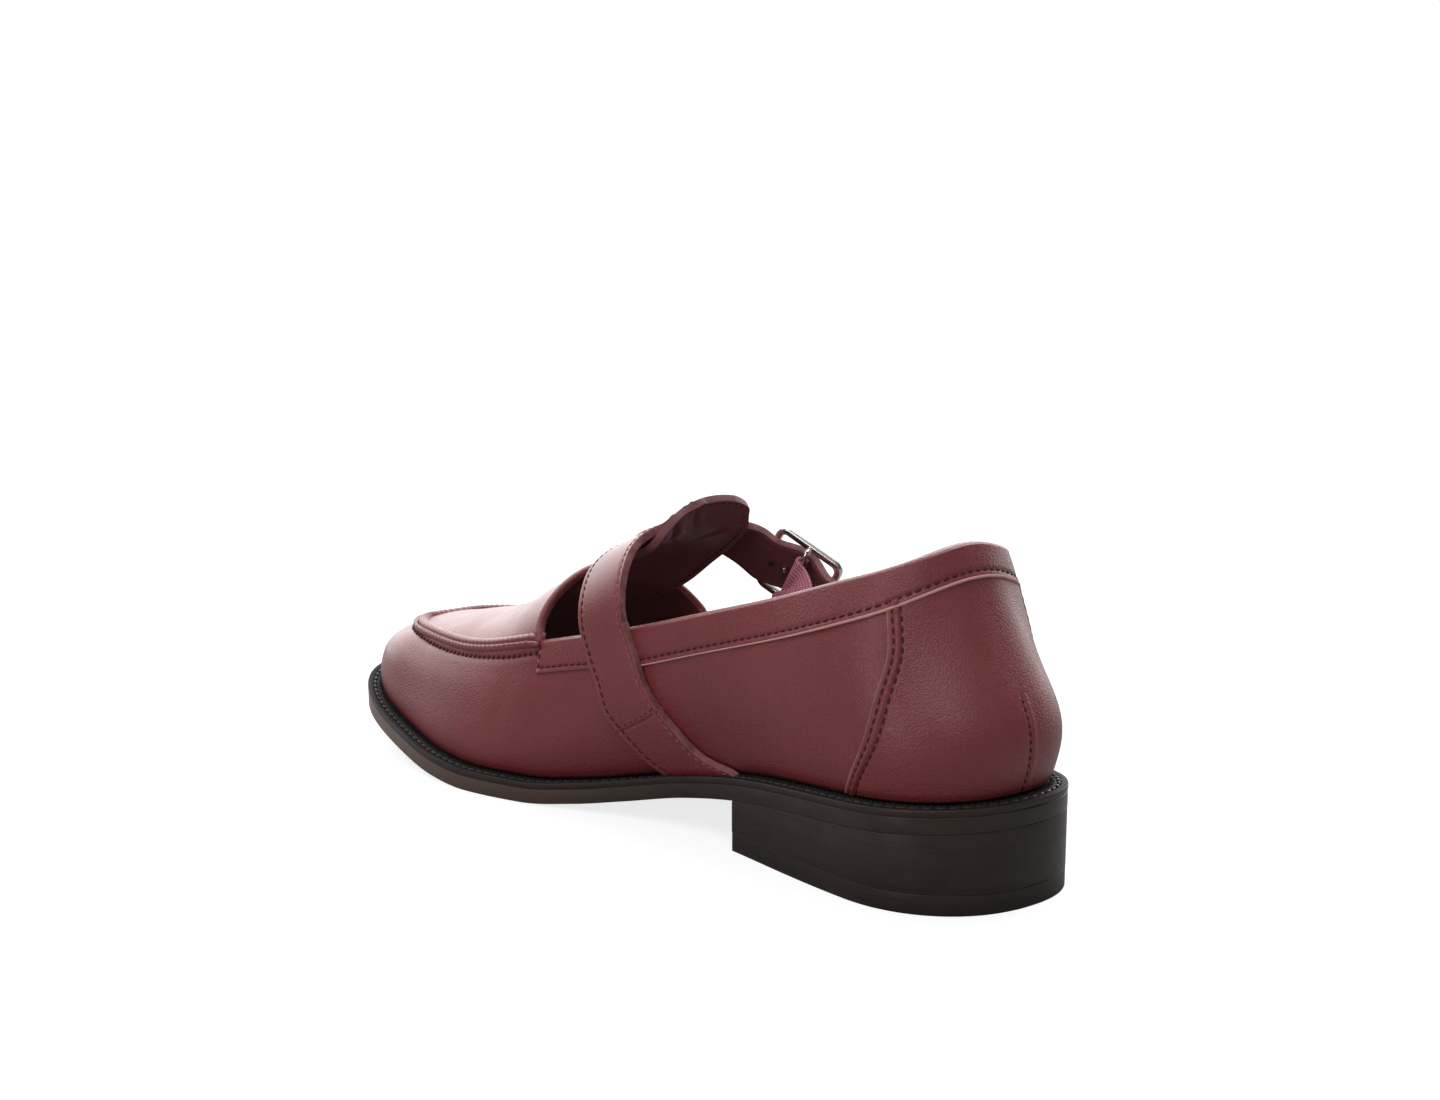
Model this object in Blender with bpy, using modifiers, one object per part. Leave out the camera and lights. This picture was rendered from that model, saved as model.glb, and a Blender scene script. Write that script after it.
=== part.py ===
"""Mary jane loafer, right shoe: a moccasin-toe upper on a low stacked heel, with a T-bar whose
head carries a cross strap that buckles on the outer side.

Axes: +X runs from the heel to the toe, +Y to the medial (inner) side, +Z up. The origin is the
middle of the heel's ground face. Every table and constant below is in millimetres, with x
measured from the back of the sole, and place() turns it into metres about the origin.
"""
import math

import bmesh
import bpy
import numpy as np
from mathutils import Vector

# ------------------------------------------------------------------ driving sizes (mm)
SOLE_LENGTH = 258.0        # back of the heel to the tip of the toe
HEEL_REST_X = 38.0         # middle of the heel's ground face
SOLE_EDGE = 6.0            # outsole and welt together
WELT_THICK = 1.9
WELT_WIDTH = 9.0
WELT_LEDGE = 4.5           # how far the welt shows beyond the upper
GAP = 0.3                  # left between pieces that touch
BAR_EASE = 0.25            # between the centre bar, the elastic and the strap
BREAST_MEDIAL = 79.0       # front corners of the heel block
BREAST_LATERAL = 75.0
BREAST_HOLLOW = 3.0        # how far the breast curves back between its corners
TOP_LIFT = 5.0             # the rubber lift under the heel block
HEEL_TAPER = 0.2           # the block is this much smaller at the ground
WALL = 2.0                 # thickness of the upper, leather and lining
INSOLE_THICK = 2.6
THROAT_X = {1: 148.0, -1: 156.0}       # where the vamp's throat meets each side's topline
THROAT_BOW = 8.0           # how far the throat edge curves toward the toe in the middle
BACK_CAP, BACK_POWER = 33.8, 2.32      # length and fullness of the outline's heel end
TOE_CAP, TOE_POWER = 39.9, 2.90        # and of its toe end
TOE_SWING = 3.2            # how far the toe tip lies toward the medial side

# Outline of the sole: a row for each section, half widths from the centre line
OUTLINE = (
    # x,   medial, lateral
    (0, 29.8, 28.6), (30, 30.2, 29.3), (66, 26.8, 31.1), (100, 24.7, 35.1), (130, 32.0, 41.0),
    (160, 42.2, 45.4), (185, 45.1, 45.0), (210, 41.7, 41.0), (235, 36.0, 34.0), (258, 30.3, 28.0))

# Height of the welt's upper face along the sole: heel seat, shank, tread and toe spring
SOLE_LINE = (
    # x, height
    (0, 26.0), (30, 24.0), (66, 21.0), (100, 15.4), (120, 10.9), (136, 7.8), (152, 6.0),
    (172, 6.0), (188, 7.2), (210, 10.6), (235, 15.2), (258, 18.0))

# The upper's wall over the feather line. Each section says how far the wall stands out (+) or
# in (-) at four levels above the sole, and how high its top edge is.
LEVELS = (0.0, 0.20, 0.45, 0.72, 1.0)
WALL_TOP = (
    # x, height of the topline, then of the apron seam
    (4, 83.4), (15, 81.6), (30, 78.0), (60, 68.5), (90, 60.0), (120, 52.5), (148, 45.5),
    (175, 39.5), (200, 37.0), (225, 36.6), (254, 36.4))
MEDIAL_WALL = (
    # x,  low,  mid, high,  top
    (4, 1.4, -2.8, -10.0, -16.0), (12, 1.7, -1.8, -7.8, -13.0), (30, 2.5, 2.6, 0.0, -4.6),
    (60, 3.0, 5.0, 4.8, 2.6), (90, 4.0, 7.4, 8.8, 8.5), (120, 3.7, 6.5, 7.5, 7.1),
    (150, 2.4, 2.6, 1.0, -1.8), (175, 1.1, -0.5, -3.5, -8.1), (200, 0.4, -1.4, -4.4, -10.5),
    (225, 0.3, -0.7, -3.3, -10.5), (254, 0.3, -0.3, -2.9, -10.8))
LATERAL_WALL = (
    # x,  low,  mid, high,  top
    (4, 1.4, -2.8, -10.0, -16.0), (12, 1.7, -1.8, -7.8, -13.0), (30, 2.8, 3.0, 0.4, -4.2),
    (60, 2.3, 3.3, 2.1, -0.5), (90, 2.2, 3.0, 2.0, -0.6), (120, 2.1, 2.1, 0.1, -3.1),
    (150, 1.4, 0.6, -2.4, -7.0), (175, 0.8, -0.8, -4.0, -8.8), (200, 0.5, -1.1, -4.1, -10.0),
    (225, 0.3, -0.7, -3.4, -10.4), (254, 0.3, -0.3, -2.9, -10.8))

# Crest of the instep and of the apron along the centre line, and how full the arch is
CREST = (
    # x, height, power of the arch (0.5 is half an ellipse, 1 a parabola)
    (90, 94.0, 0.50), (113, 82.6, 0.50), (127, 76.2, 0.50), (140, 70.6, 0.55),
    (148, 67.2, 0.62), (156, 63.9, 0.70), (165, 60.0, 0.78), (176, 54.6, 0.85),
    (185, 50.0, 0.90), (197, 45.8, 0.95), (210, 42.8, 1.0), (226, 39.6, 1.0),
    (242, 37.0, 1.0))

# The T-bar runs back from under the apron's throat edge, between the foot openings, and ends
# in a wide head. Angles are turns around the instep, and depth is below the instep's surface.
T_BAR = (
    # x, medial edge, lateral edge, depth of the outer face
    (114.0, 82, 102, -3.4), (114.8, 73, 109, -3.2), (116.5, 65, 114, -2.4),
    (119.5, 59, 119, -1.0), (123.0, 57, 122, 0.4), (128.0, 58, 125, 1.0),
    (134.0, 60, 128, 1.0), (142.0, 64, 131, 1.0), (150.0, 67, 133, 1.6),
    (158.0, 68, 132, 2.7), (170.0, 68, 128, 2.9))
T_BAR_THICK = 2.0

# Centre line of the strap. girth runs -1 to 0 up the medial wall, 0 to 1 over the instep and
# 1 to 2 down the lateral wall; lift is how far its inner face stands off that surface.
STRAP = (
    # girth, x, half width, lift
    (-0.97, 94.5, 13.0, 0.4), (-0.90, 98.4, 11.0, 0.4), (-0.80, 102.6, 9.4, 0.4),
    (-0.61, 108.6, 8.8, 0.4), (-0.41, 114.4, 8.7, 0.4), (-0.22, 119.0, 8.7, 0.4),
    (0.00, 123.2, 8.7, 0.5), (0.09, 125.2, 8.7, 0.6), (0.18, 128.0, 8.7, 0.4),
    (0.28, 131.6, 8.7, 0.3), (0.40, 133.6, 8.7, -0.1), (0.50, 133.8, 8.7, -0.2),
    (0.60, 132.8, 8.7, 0.2), (0.70, 130.9, 8.5, 0.4), (0.78, 127.6, 8.3, 0.2),
    (0.86, 122.9, 8.2, 1.0), (0.93, 118.0, 8.2, 3.1), (1.00, 113.2, 8.2, 4.6),
    (1.08, 108.4, 8.2, 4.8), (1.18, 103.0, 8.2, 3.8), (1.28, 98.2, 7.2, 2.0),
    (1.335, 95.6, 4.2, 0.9))
STRAP_THICK = 2.2
STRAP_FOOT = -0.948        # no part of the strap goes lower: it is caught over the welt here
STRAP_STEPS = 56           # sections along the strap
STRAP_FREE = 0.62          # past this girth the strap is clear of the T-bar
STRAP_HANG = (0.30, -0.86, 0.41)   # the way its face looks where it hangs through the buckle
STRAP_TUCK = 1.5           # how far it dips under the frame's two sides and rises over the bar


# The keeper is a band over the strap, sewn to the T-bar before and behind it
KEEPER = (
    # x, lift of its inner face, half width
    (118.5, 1.9, 8.0), (120.5, 1.4, 9.0), (122.3, 0.9, 9.5), (124.0, 2.6, 9.5),
    (126.0, 2.6, 9.5), (141.5, 2.6, 9.5), (143.6, 2.3, 9.5), (146.0, -0.5, 9.5),
    (150.0, -1.1, 9.5), (152.0, -1.3, 9.0))
KEEPER_THICK = 1.3

# The roll of the moccasin toe stands over the seam between wall and apron
ROLL_OUT, ROLL_IN, ROLL_HIGH = 0.93, 2.6, 1.9   # foot on the wall, reach over the apron, height

BUCKLE_BAR = 0.935         # girth of the frame's centre bar, which the elastic holds
BUCKLE_LONG, BUCKLE_WIDE, BUCKLE_CORNER = 22.0, 24.0, 3.4
BUCKLE_BAND, BUCKLE_DEEP = 2.0, 2.2    # section of the frame's band
BAR_WIRE, BAR_DROP = 1.6, 2.7          # the centre bar hangs below the frame
PRONG_WIRE, PRONG_HOLE = 1.5, 1.5
ELASTIC_THICK = 0.8
ELASTIC_BASE_X, ELASTIC_BASE_HALF, ELASTIC_BAR_HALF = 113.5, 8.5, 7.2


# ------------------------------------------------------------------ curves from the tables
def spline(table, column):
    """Natural cubic through one column of a table, as a function of its first column."""
    xs = np.array([row[0] for row in table], float)
    ys = np.array([row[column] for row in table], float)
    n, h = len(xs), np.diff(xs)
    a, b = np.eye(n), np.zeros(n)
    for i in range(1, n - 1):
        a[i, i - 1:i + 2] = h[i - 1], 2 * (h[i - 1] + h[i]), h[i]
        b[i] = 6 * ((ys[i + 1] - ys[i]) / h[i] - (ys[i] - ys[i - 1]) / h[i - 1])
    m = np.linalg.solve(a, b)

    def value(x):
        x = np.clip(np.asarray(x, float), xs[0], xs[-1])
        i = np.clip(np.searchsorted(xs, x) - 1, 0, n - 2)
        t, s = x - xs[i], xs[i + 1] - x
        return (m[i] * s ** 3 + m[i + 1] * t ** 3) / (6 * h[i]) + \
            (ys[i] / h[i] - m[i] * h[i] / 6) * s + (ys[i + 1] / h[i] - m[i + 1] * h[i] / 6) * t
    return value


def steady(table, column):
    """Cubic that never overshoots its rows, so that equal rows stay flat between them."""
    xs = np.array([row[0] for row in table], float)
    ys = np.array([row[column] for row in table], float)
    h, d = np.diff(xs), np.diff(ys) / np.diff(xs)
    m = np.zeros(len(xs))
    m[0], m[-1] = d[0], d[-1]
    for i in range(1, len(xs) - 1):
        if d[i - 1] * d[i] > 0:
            w1, w2 = 2 * h[i] + h[i - 1], h[i] + 2 * h[i - 1]
            m[i] = (w1 + w2) / (w1 / d[i - 1] + w2 / d[i])

    def value(x):
        x = np.clip(np.asarray(x, float), xs[0], xs[-1])
        i = np.clip(np.searchsorted(xs, x) - 1, 0, len(xs) - 2)
        t = (x - xs[i]) / h[i]
        return ys[i] * (1 + 2 * t) * (1 - t) ** 2 + h[i] * m[i] * t * (1 - t) ** 2 + \
            ys[i + 1] * t * t * (3 - 2 * t) + h[i] * m[i + 1] * t * t * (t - 1)
    return value


HALF_WIDTH = {1: spline(OUTLINE, 1), -1: spline(OUTLINE, 2)}
SOLE_TOP = steady(SOLE_LINE, 1)
TOP_EDGE = spline(WALL_TOP, 1)
STAND_OUT = {1: [spline(MEDIAL_WALL, c) for c in (1, 2, 3, 4)],
             -1: [spline(LATERAL_WALL, c) for c in (1, 2, 3, 4)]}
CREST_HEIGHT, CREST_POWER = spline(CREST, 1), spline(CREST, 2)


def outline(x, side):
    """Y of the sole's edge at x, on the medial (1) or lateral (-1) side."""
    heel = np.clip((BACK_CAP - x) / BACK_CAP, 0, 1) ** BACK_POWER
    toe = np.clip((x - SOLE_LENGTH + TOE_CAP) / TOE_CAP, 0, 1) ** TOE_POWER
    end = (1 - heel) ** (1 / BACK_POWER) * (1 - toe) ** (1 / TOE_POWER)
    swing = TOE_SWING * np.clip((x - 150) / (SOLE_LENGTH - 150), 0, 1) ** 2
    return swing + side * HALF_WIDTH[side](x) * end


def edge_points(side, count=900):
    """The sole's edge from the back to the toe as closely spaced points, with outward normals."""
    t = np.linspace(0, 1, count)
    x = SOLE_LENGTH * (3 * t ** 2 - 2 * t ** 3)
    x[0], x[-1] = 0, SOLE_LENGTH
    p = np.column_stack([x, outline(x, side)])
    d = np.gradient(p, axis=0)
    d[0], d[-1] = (0, side), (0, -side)
    n = np.column_stack([-d[:, 1], d[:, 0]]) * side
    return p, n / np.linalg.norm(n, axis=1)[:, None]


EDGE = {side: edge_points(side) for side in (1, -1)}


def inset_edge(x, side, inset):
    """Point and normal at x on the outline moved inward by inset, read from the edge points."""
    p, n = EDGE[side]
    q = p - n * inset
    keep = np.concatenate([[True], np.diff(np.maximum.accumulate(q[:, 0])) > 1e-9])
    q, m = q[keep], n[keep]
    q[0, 1] = q[-1, 1] = 0
    q[-1, 1] = TOE_SWING
    out = [np.interp(x, q[:, 0], v) for v in (q[:, 1], m[:, 0], m[:, 1])]
    return np.array([x, out[0]]), np.array(out[1:]) / math.hypot(out[1], out[2])


# ------------------------------------------------------------------ the upper's own surface
FOOT_BACK, FOOT_TOE = WELT_LEDGE, SOLE_LENGTH - WELT_LEDGE


def wall(x, side, v):
    """Point of the upper's outer face over the feather line at x, v of the way up the wall."""
    foot, out = inset_edge(x, side, WELT_LEDGE)
    low = float(SOLE_TOP(x)) + GAP
    rows = [(LEVELS[0], 0.0)] + [(LEVELS[i + 1], float(STAND_OUT[side][i](x))) for i in range(4)]
    reach = float(spline(rows, 1)(v))
    flat = foot + out * reach
    return np.array([flat[0], flat[1], low + (float(TOP_EDGE(x)) - low) * v])


def arch(x, turn, skew=0.0):
    """Point over the instep or the apron: turn 0 is the medial edge, 90 the crest, 180 lateral.
    skew is how far toward the toe the lateral end lies."""
    a, b = wall(x, 1, 1.0), wall(x + skew, -1, 1.0)
    c, s = math.cos(math.radians(turn)), math.sin(math.radians(turn))
    middle, half = (a + b) / 2, (a - b) / 2
    rise = float(CREST_HEIGHT(middle[0])) - middle[2]
    return middle + half * c + np.array([0, 0, rise * s ** (2 * float(CREST_POWER(middle[0])))])


def skin(x, girth):
    """Point of the whole outer surface: up the medial wall, over the instep, down the lateral."""
    if girth < 0:
        return wall(x, 1, 1 + girth)
    if girth > 1:
        return wall(x, -1, 2 - girth)
    return arch(x, 180 * girth)


def slopes(x, girth):
    """How the surface moves per mm of x and per unit of girth, with its outward normal."""
    dx = (skin(x + 2.5, girth) - skin(x - 2.5, girth)) / 5.0
    lo, hi = girth - 0.02, girth + 0.02
    dg = (skin(x, hi) - skin(x, lo)) / 0.04
    n = np.cross(dg, dx)
    return dx, dg, n / np.linalg.norm(n)


SEAM = {side: np.array([wall(x, side, 1.0) for x in np.linspace(60, FOOT_TOE, 120)])
        for side in (1, -1)}


def apron_height(x, y):
    """Height of the apron over a point of the plan."""
    (ya, za), (yb, zb) = ([np.interp(x, SEAM[s][:, 0], SEAM[s][:, c]) for c in (1, 2)]
                          for s in (1, -1))
    half = max((ya - yb) / 2, 0.01)
    across = min(abs(y - (ya + yb) / 2) / half, 1.0)
    rise = float(CREST_HEIGHT(x)) - (za + zb) / 2
    return (za + zb) / 2 + rise * (1 - across ** 2) ** float(CREST_POWER(x))


def on_skin(x, girth, along, across, lift):
    """Point reached from (x, girth) by going across over the surface, lifted off it."""
    dx, dg, _ = slopes(x, girth)
    step = np.linalg.lstsq(np.column_stack([dx, dg]), along * across, rcond=None)[0]
    q = (x + step[0], max(girth + step[1], STRAP_FOOT))
    return skin(*q) + slopes(*q)[2] * lift


# ------------------------------------------------------------------ Blender helpers
def clear_scene():
    for ob in list(bpy.data.objects):
        bpy.data.objects.remove(ob, do_unlink=True)


def place(p):
    """Millimetres from the back of the sole to metres about the heel's rest."""
    return ((p[0] - HEEL_REST_X) / 1000, p[1] / 1000, p[2] / 1000)


def material(name, colour, roughness, metallic=0.0):
    mat = bpy.data.materials.new(name)
    mat.use_nodes = True
    shader = mat.node_tree.nodes["Principled BSDF"]
    shader.inputs["Base Color"].default_value = (*colour, 1)
    shader.inputs["Roughness"].default_value = roughness
    shader.inputs["Metallic"].default_value = metallic
    mat.diffuse_color = (*colour, 1)
    return mat


def finish(name, bm, mat, angle=40):
    bmesh.ops.recalc_face_normals(bm, faces=bm.faces)
    mesh = bpy.data.meshes.new(name)
    bm.to_mesh(mesh)
    bm.free()
    mesh.materials.append(mat)
    mesh.shade_smooth()
    mesh.set_sharp_from_angle(angle=math.radians(angle))
    ob = bpy.data.objects.new(name, mesh)
    SHOE.objects.link(ob)
    return ob


def rows_to_mesh(bm, rows):
    """Skin a list of rows of points. A row of one point is a tip that its neighbour fans from."""
    verts = [[bm.verts.new(place(p)) for p in row] for row in rows]
    for a, b in zip(verts, verts[1:]):
        if len(a) == 1:
            for i in range(len(b) - 1):
                bm.faces.new((a[0], b[i], b[i + 1]))
        elif len(b) == 1:
            for i in range(len(a) - 1):
                bm.faces.new((a[i + 1], a[i], b[0]))
        else:
            for i in range(len(a) - 1):
                bm.faces.new((a[i], b[i], b[i + 1], a[i + 1]))
    return verts


def rim(verts):
    """The outer vertices of a skinned grid, in order around it."""
    medial, lateral = [row[0] for row in verts], [row[-1] for row in verts]
    loop = medial + verts[-1][1:-1]
    tail = lateral[::-1]
    if len(verts[-1]) == 1:
        tail = tail[1:]
    if len(verts[0]) == 1:
        return loop + tail[:-1]
    return loop + tail + verts[0][1:-1][::-1]


def slab(name, mat, layers, angle=40):
    """A closed plate. The first and last layers are skinned, those between only shape its edge."""
    bm = bmesh.new()
    loops = []
    for k, rows in enumerate(layers):
        if k in (0, len(layers) - 1):
            loops.append(rim(rows_to_mesh(bm, rows)))
        else:
            ends = (0, len(rows) - 1)
            loops.append(rim([[bm.verts.new(place(p)) for p in
                               (row if i in ends or len(row) == 1 else (row[0], row[-1]))]
                              for i, row in enumerate(rows)]))
    for a, b in zip(loops, loops[1:]):
        for i in range(len(a)):
            j = (i + 1) % len(a)
            bm.faces.new((a[i], a[j], b[j], b[i]))
    return finish(name, bm, mat, angle)


def sheet(name, mat, rows, thick, offset=-1.0, angle=50):
    """An open skin given its thickness. offset -1 grows it under the skin, 0 both ways."""
    bm = bmesh.new()
    rows_to_mesh(bm, rows)
    ob = finish(name, bm, mat, angle)
    solid = ob.modifiers.new("thickness", 'SOLIDIFY')
    solid.thickness = thick / 1000
    solid.offset = offset
    return ob


def stations(back, toe, corner=None, behind=13, ahead=7):
    """Section positions between two tips: close at the rounded ends, even between them."""
    cap = 34.0
    heel = [back + cap * (1 - math.cos(math.radians(a))) for a in range(0, 90, 10)]
    nose = [toe - cap * (1 - math.cos(math.radians(a))) for a in range(80, -1, -8)]
    a, b = back + cap, toe - cap
    mid = corner or a + (b - a) * behind / (behind + ahead)
    body = [a + (mid - a) * i / behind for i in range(behind)]
    body += [mid + (b - mid) * i / ahead for i in range(ahead + 1)]
    return heel + body + nose


# ------------------------------------------------------------------ the pieces
def sole_rows(inset, drop, xs):
    """Rows across the sole at the given sections, inset from its edge and drop under the welt."""
    rows = []
    back, toe = inset, SOLE_LENGTH - inset
    for f in xs:
        x = back + (toe - back) * f
        z = float(SOLE_TOP(x)) - drop
        if f in (0, 1):
            rows.append([np.array([x, TOE_SWING * f, z])])
            continue
        a, b = inset_edge(x, 1, inset)[0], inset_edge(x, -1, inset)[0]
        rows.append([np.array([p[0], p[1], z]) for p in (a, (a + b) / 2, b)])
    return rows


def section_shares():
    xs = stations(0, SOLE_LENGTH, behind=15, ahead=10)
    return [x / SOLE_LENGTH for x in xs[:-1]] + [1]


def make_outsole():
    xs = section_shares()
    top, bottom = WELT_THICK + GAP, SOLE_EDGE
    layers = [sole_rows(0.5, top, xs), sole_rows(0.1, top + 0.5, xs),
              sole_rows(0.1, bottom - 0.6, xs), sole_rows(0.3, bottom, xs)]
    return slab("outsole", MATS["sole_leather"], layers)


def make_welt():
    """A ring: outer edge, upper face, inner edge and under face, skinned around the outline."""
    xs = section_shares()
    bm = bmesh.new()
    loops = []
    for inset, drop in ((0.6, 0.0), (WELT_WIDTH, 0.0), (WELT_WIDTH, WELT_THICK),
                        (0.3, WELT_THICK), (0.0, WELT_THICK - 0.5), (0.0, 0.5)):
        rows = sole_rows(inset, drop, xs)
        ring = [row[0] for row in rows] + [row[-1] for row in rows[1:-1]][::-1]
        loops.append([bm.verts.new(place(p)) for p in ring])
    for a, b in zip(loops, loops[1:] + loops[:1]):
        for i in range(len(a)):
            j = (i + 1) % len(a)
            bm.faces.new((a[i], a[j], b[j], b[i]))
    return finish("welt", bm, MATS["welt_black"])


def make_insole():
    """Rests on the welt by its margin and fills the hollow inside it down to the outsole."""
    xs = section_shares()
    edge = WELT_LEDGE + WALL + 0.5
    layers = [sole_rows(edge + 0.5, -INSOLE_THICK, xs), sole_rows(edge, -INSOLE_THICK + 0.5, xs),
              sole_rows(edge, -GAP, xs), sole_rows(WELT_WIDTH + 0.4, -GAP, xs),
              sole_rows(WELT_WIDTH + 0.4, WELT_THICK, xs)]
    return slab("insole", MATS["lining"], layers)


def heel_rows(inset, height, across=6):
    """Rows across the heel. height is a function of x or a number."""
    rows = []
    for k in range(13):
        t = 1 - math.cos(math.radians(90 * k / 12))
        if k == 0:
            rows.append([np.array([inset, 0.0])])
            continue
        front = {1: BREAST_MEDIAL - inset * 0.5, -1: BREAST_LATERAL - inset * 0.5}
        a, b = (inset_edge(inset + (front[s] - inset) * t, s, inset)[0] for s in (1, -1))
        row = []
        for i in range(across + 1):
            u = i / across
            p = a + (b - a) * u
            p = p - np.array([BREAST_HOLLOW * 4 * u * (1 - u) * t ** 3, 0])
            row.append(p)
        rows.append(row)
    z = height if callable(height) else (lambda x: height)
    return [[np.array([p[0], p[1], float(z(p[0]))]) for p in row] for row in rows]


def make_heel():
    def under(x):
        return SOLE_TOP(x) - SOLE_EDGE - GAP
    layers = [heel_rows(0.1, under), heel_rows(0.1, lambda x: under(x) - 1.0),
              heel_rows(HEEL_TAPER, TOP_LIFT + GAP)]
    heel = slab("heel_block", MATS["stacked_heel"], layers)
    lift = slab("top_lift", MATS["rubber"], [heel_rows(HEEL_TAPER, TOP_LIFT),
                                             heel_rows(HEEL_TAPER, 0.6),
                                             heel_rows(HEEL_TAPER + 0.3, 0.0)])
    return heel, lift


def make_upper(levels=9, across=14):
    """The wall rises from the feather line to the topline and apron seam, and the apron closes
    the front up to the throat edge. The skin is then given its thickness inward."""
    xs = {side: stations(FOOT_BACK, FOOT_TOE, THROAT_X[side]) for side in (1, -1)}
    tip = len(xs[1]) - 1
    first = xs[1].index(THROAT_X[1])
    bm = bmesh.new()
    columns = {}
    for side in (1, -1):
        for i, x in enumerate(xs[side]):
            x = min(max(x, FOOT_BACK), FOOT_TOE)
            if side == -1 and i in (0, tip):
                columns[side, i] = columns[1, i]
            else:
                columns[side, i] = [bm.verts.new(place(wall(x, side, k / levels)))
                                    for k in range(levels + 1)]
        for i in range(tip):
            a, b = columns[side, i], columns[side, i + 1]
            for k in range(levels):
                bm.faces.new((a[k], b[k], b[k + 1], a[k + 1]))
    rungs = []
    for i in range(first, tip):
        ahead = max(0.0, 1 - (xs[1][i] - THROAT_X[1]) / 36.0) ** 2 * THROAT_BOW
        row = [columns[1, i][-1]]
        for k in range(1, across):
            turn = 180 * k / across
            shift = ahead * math.sin(math.radians(turn)) ** 0.7
            row.append(bm.verts.new(place(arch(xs[1][i] + shift, turn, xs[-1][i] - xs[1][i]))))
        rungs.append(row + [columns[-1, i][-1]])
    for a, b in zip(rungs, rungs[1:]):
        for k in range(across):
            bm.faces.new((a[k], a[k + 1], b[k + 1], b[k]))
    for k in range(across):
        bm.faces.new((rungs[-1][k], rungs[-1][k + 1], columns[1, tip][-1]))
    ob = finish("upper", bm, MATS["leather"], 60)
    solid = ob.modifiers.new("wall", 'SOLIDIFY')
    solid.thickness = WALL / 1000
    solid.offset = -1.0
    solid.use_even_offset = True
    return ob


def make_t_bar(across=10):
    """The T-bar's skin is its outer face, and its thickness grows inward."""
    cols = [spline(T_BAR, c) for c in (1, 2, 3)]
    rows = []
    for t in np.linspace(0, 1, 22):
        x = T_BAR[0][0] + (T_BAR[-1][0] - T_BAR[0][0]) * t ** 1.5
        a, b, depth = (float(c(x)) for c in cols)
        row = []
        for k in range(across + 1):
            girth = (a + (b - a) * k / across) / 180
            row.append(skin(x, girth) - slopes(x, girth)[2] * depth)
        rows.append(row)
    return sheet("tongue", MATS["leather"], rows, T_BAR_THICK, offset=-1.0)


def blend(x, start, end):
    """0 before start, 1 past end and an even rise between."""
    return np.clip((x - start) / (end - start), 0, 1)


def strap_path(count=STRAP_STEPS):
    """Girth, x, centre, outward normal, half width and lift of the strap at even steps. Past
    STRAP_FREE the strap hangs in its own smooth curve and no longer follows every fold."""
    cols = [spline(STRAP, c) for c in (1, 2, 3)]
    girths = np.linspace(STRAP[0][0], STRAP[-1][0], count)
    xs, halves, lifts = (c(girths) for c in cols)
    normals = np.array([slopes(x, g)[2] for x, g in zip(xs, girths)])
    centres = np.array([skin(x, g) for x, g in zip(xs, girths)]) + normals * lifts[:, None]
    hang = (blend(girths, STRAP_FREE, 0.76) * (1 - blend(girths, 1.08, 1.28)))[:, None]
    normals = normals * (1 - hang) + np.array(STRAP_HANG) * hang
    free = blend(girths, STRAP_FREE, STRAP_FREE + 0.15)[:, None]
    for values in (centres, normals):
        for _ in range(8):
            soft = values.copy()
            soft[1:-1] = (values[:-2] + 2 * values[1:-1] + values[2:]) / 4
            values += (soft - values) * free
    normals /= np.linalg.norm(normals, axis=1)[:, None]
    steps = np.append(0, np.cumsum(np.linalg.norm(np.diff(centres, axis=0), axis=1)))
    away = (steps - np.interp(BUCKLE_BAR, girths, steps)) / (BUCKLE_LONG / 2 - BUCKLE_BAND / 2)
    fade = np.clip(1 - (away / 2) ** 4, 0, 1) ** 2
    tuck = STRAP_TUCK * np.cos(math.pi * away) * fade
    return girths, xs, centres + normals * tuck[:, None], normals, halves, lifts


def strap_rows(extra=0.0, widen=0.0, across=6):
    """Rows across the strap on its inner face, or extra above it."""
    girths, xs, centres, normals, halves, lifts = strap_path()
    runs = np.gradient(centres, axis=0)
    rows = []
    for g, x, c, n, half, lift, run in zip(girths, xs, centres, normals, halves, lifts, runs):
        along = np.cross(n, run)
        along /= np.linalg.norm(along)
        n = np.cross(run, along) / np.linalg.norm(run)
        flat = min(max((g - STRAP_FREE) / 0.15, 0.0), 1.0)
        row = []
        for k in range(across + 1):
            reach = (half + widen) * (2 * k / across - 1)
            p = c + along * reach + n * extra
            if flat < 1:
                p = p * flat + on_skin(x, g, along, reach, lift + extra) * (1 - flat)
            row.append(p)
        rows.append(row)
    return rows


def make_strap():
    layers = [strap_rows(STRAP_THICK), strap_rows(STRAP_THICK - 0.4, 0.3),
              strap_rows(0.4, 0.3), strap_rows()]
    return slab("strap", MATS["leather"], layers, 50)


def make_keeper(across=6):
    lift, half = spline(KEEPER, 1), spline(KEEPER, 2)
    faces = []
    for extra in (KEEPER_THICK, 0.0):
        rows = []
        for x, _, _ in KEEPER:
            row = []
            for k in range(across + 1):
                turn = 92 + float(half(x)) * (2 * k / across - 1) / 32 * 57.3
                n = slopes(x, turn / 180)[2]
                row.append(arch(x, turn) + n * (float(lift(x)) + extra))
            rows.append(row)
        faces.append(rows)
    return slab("keeper", MATS["leather"], faces, 50)


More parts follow.
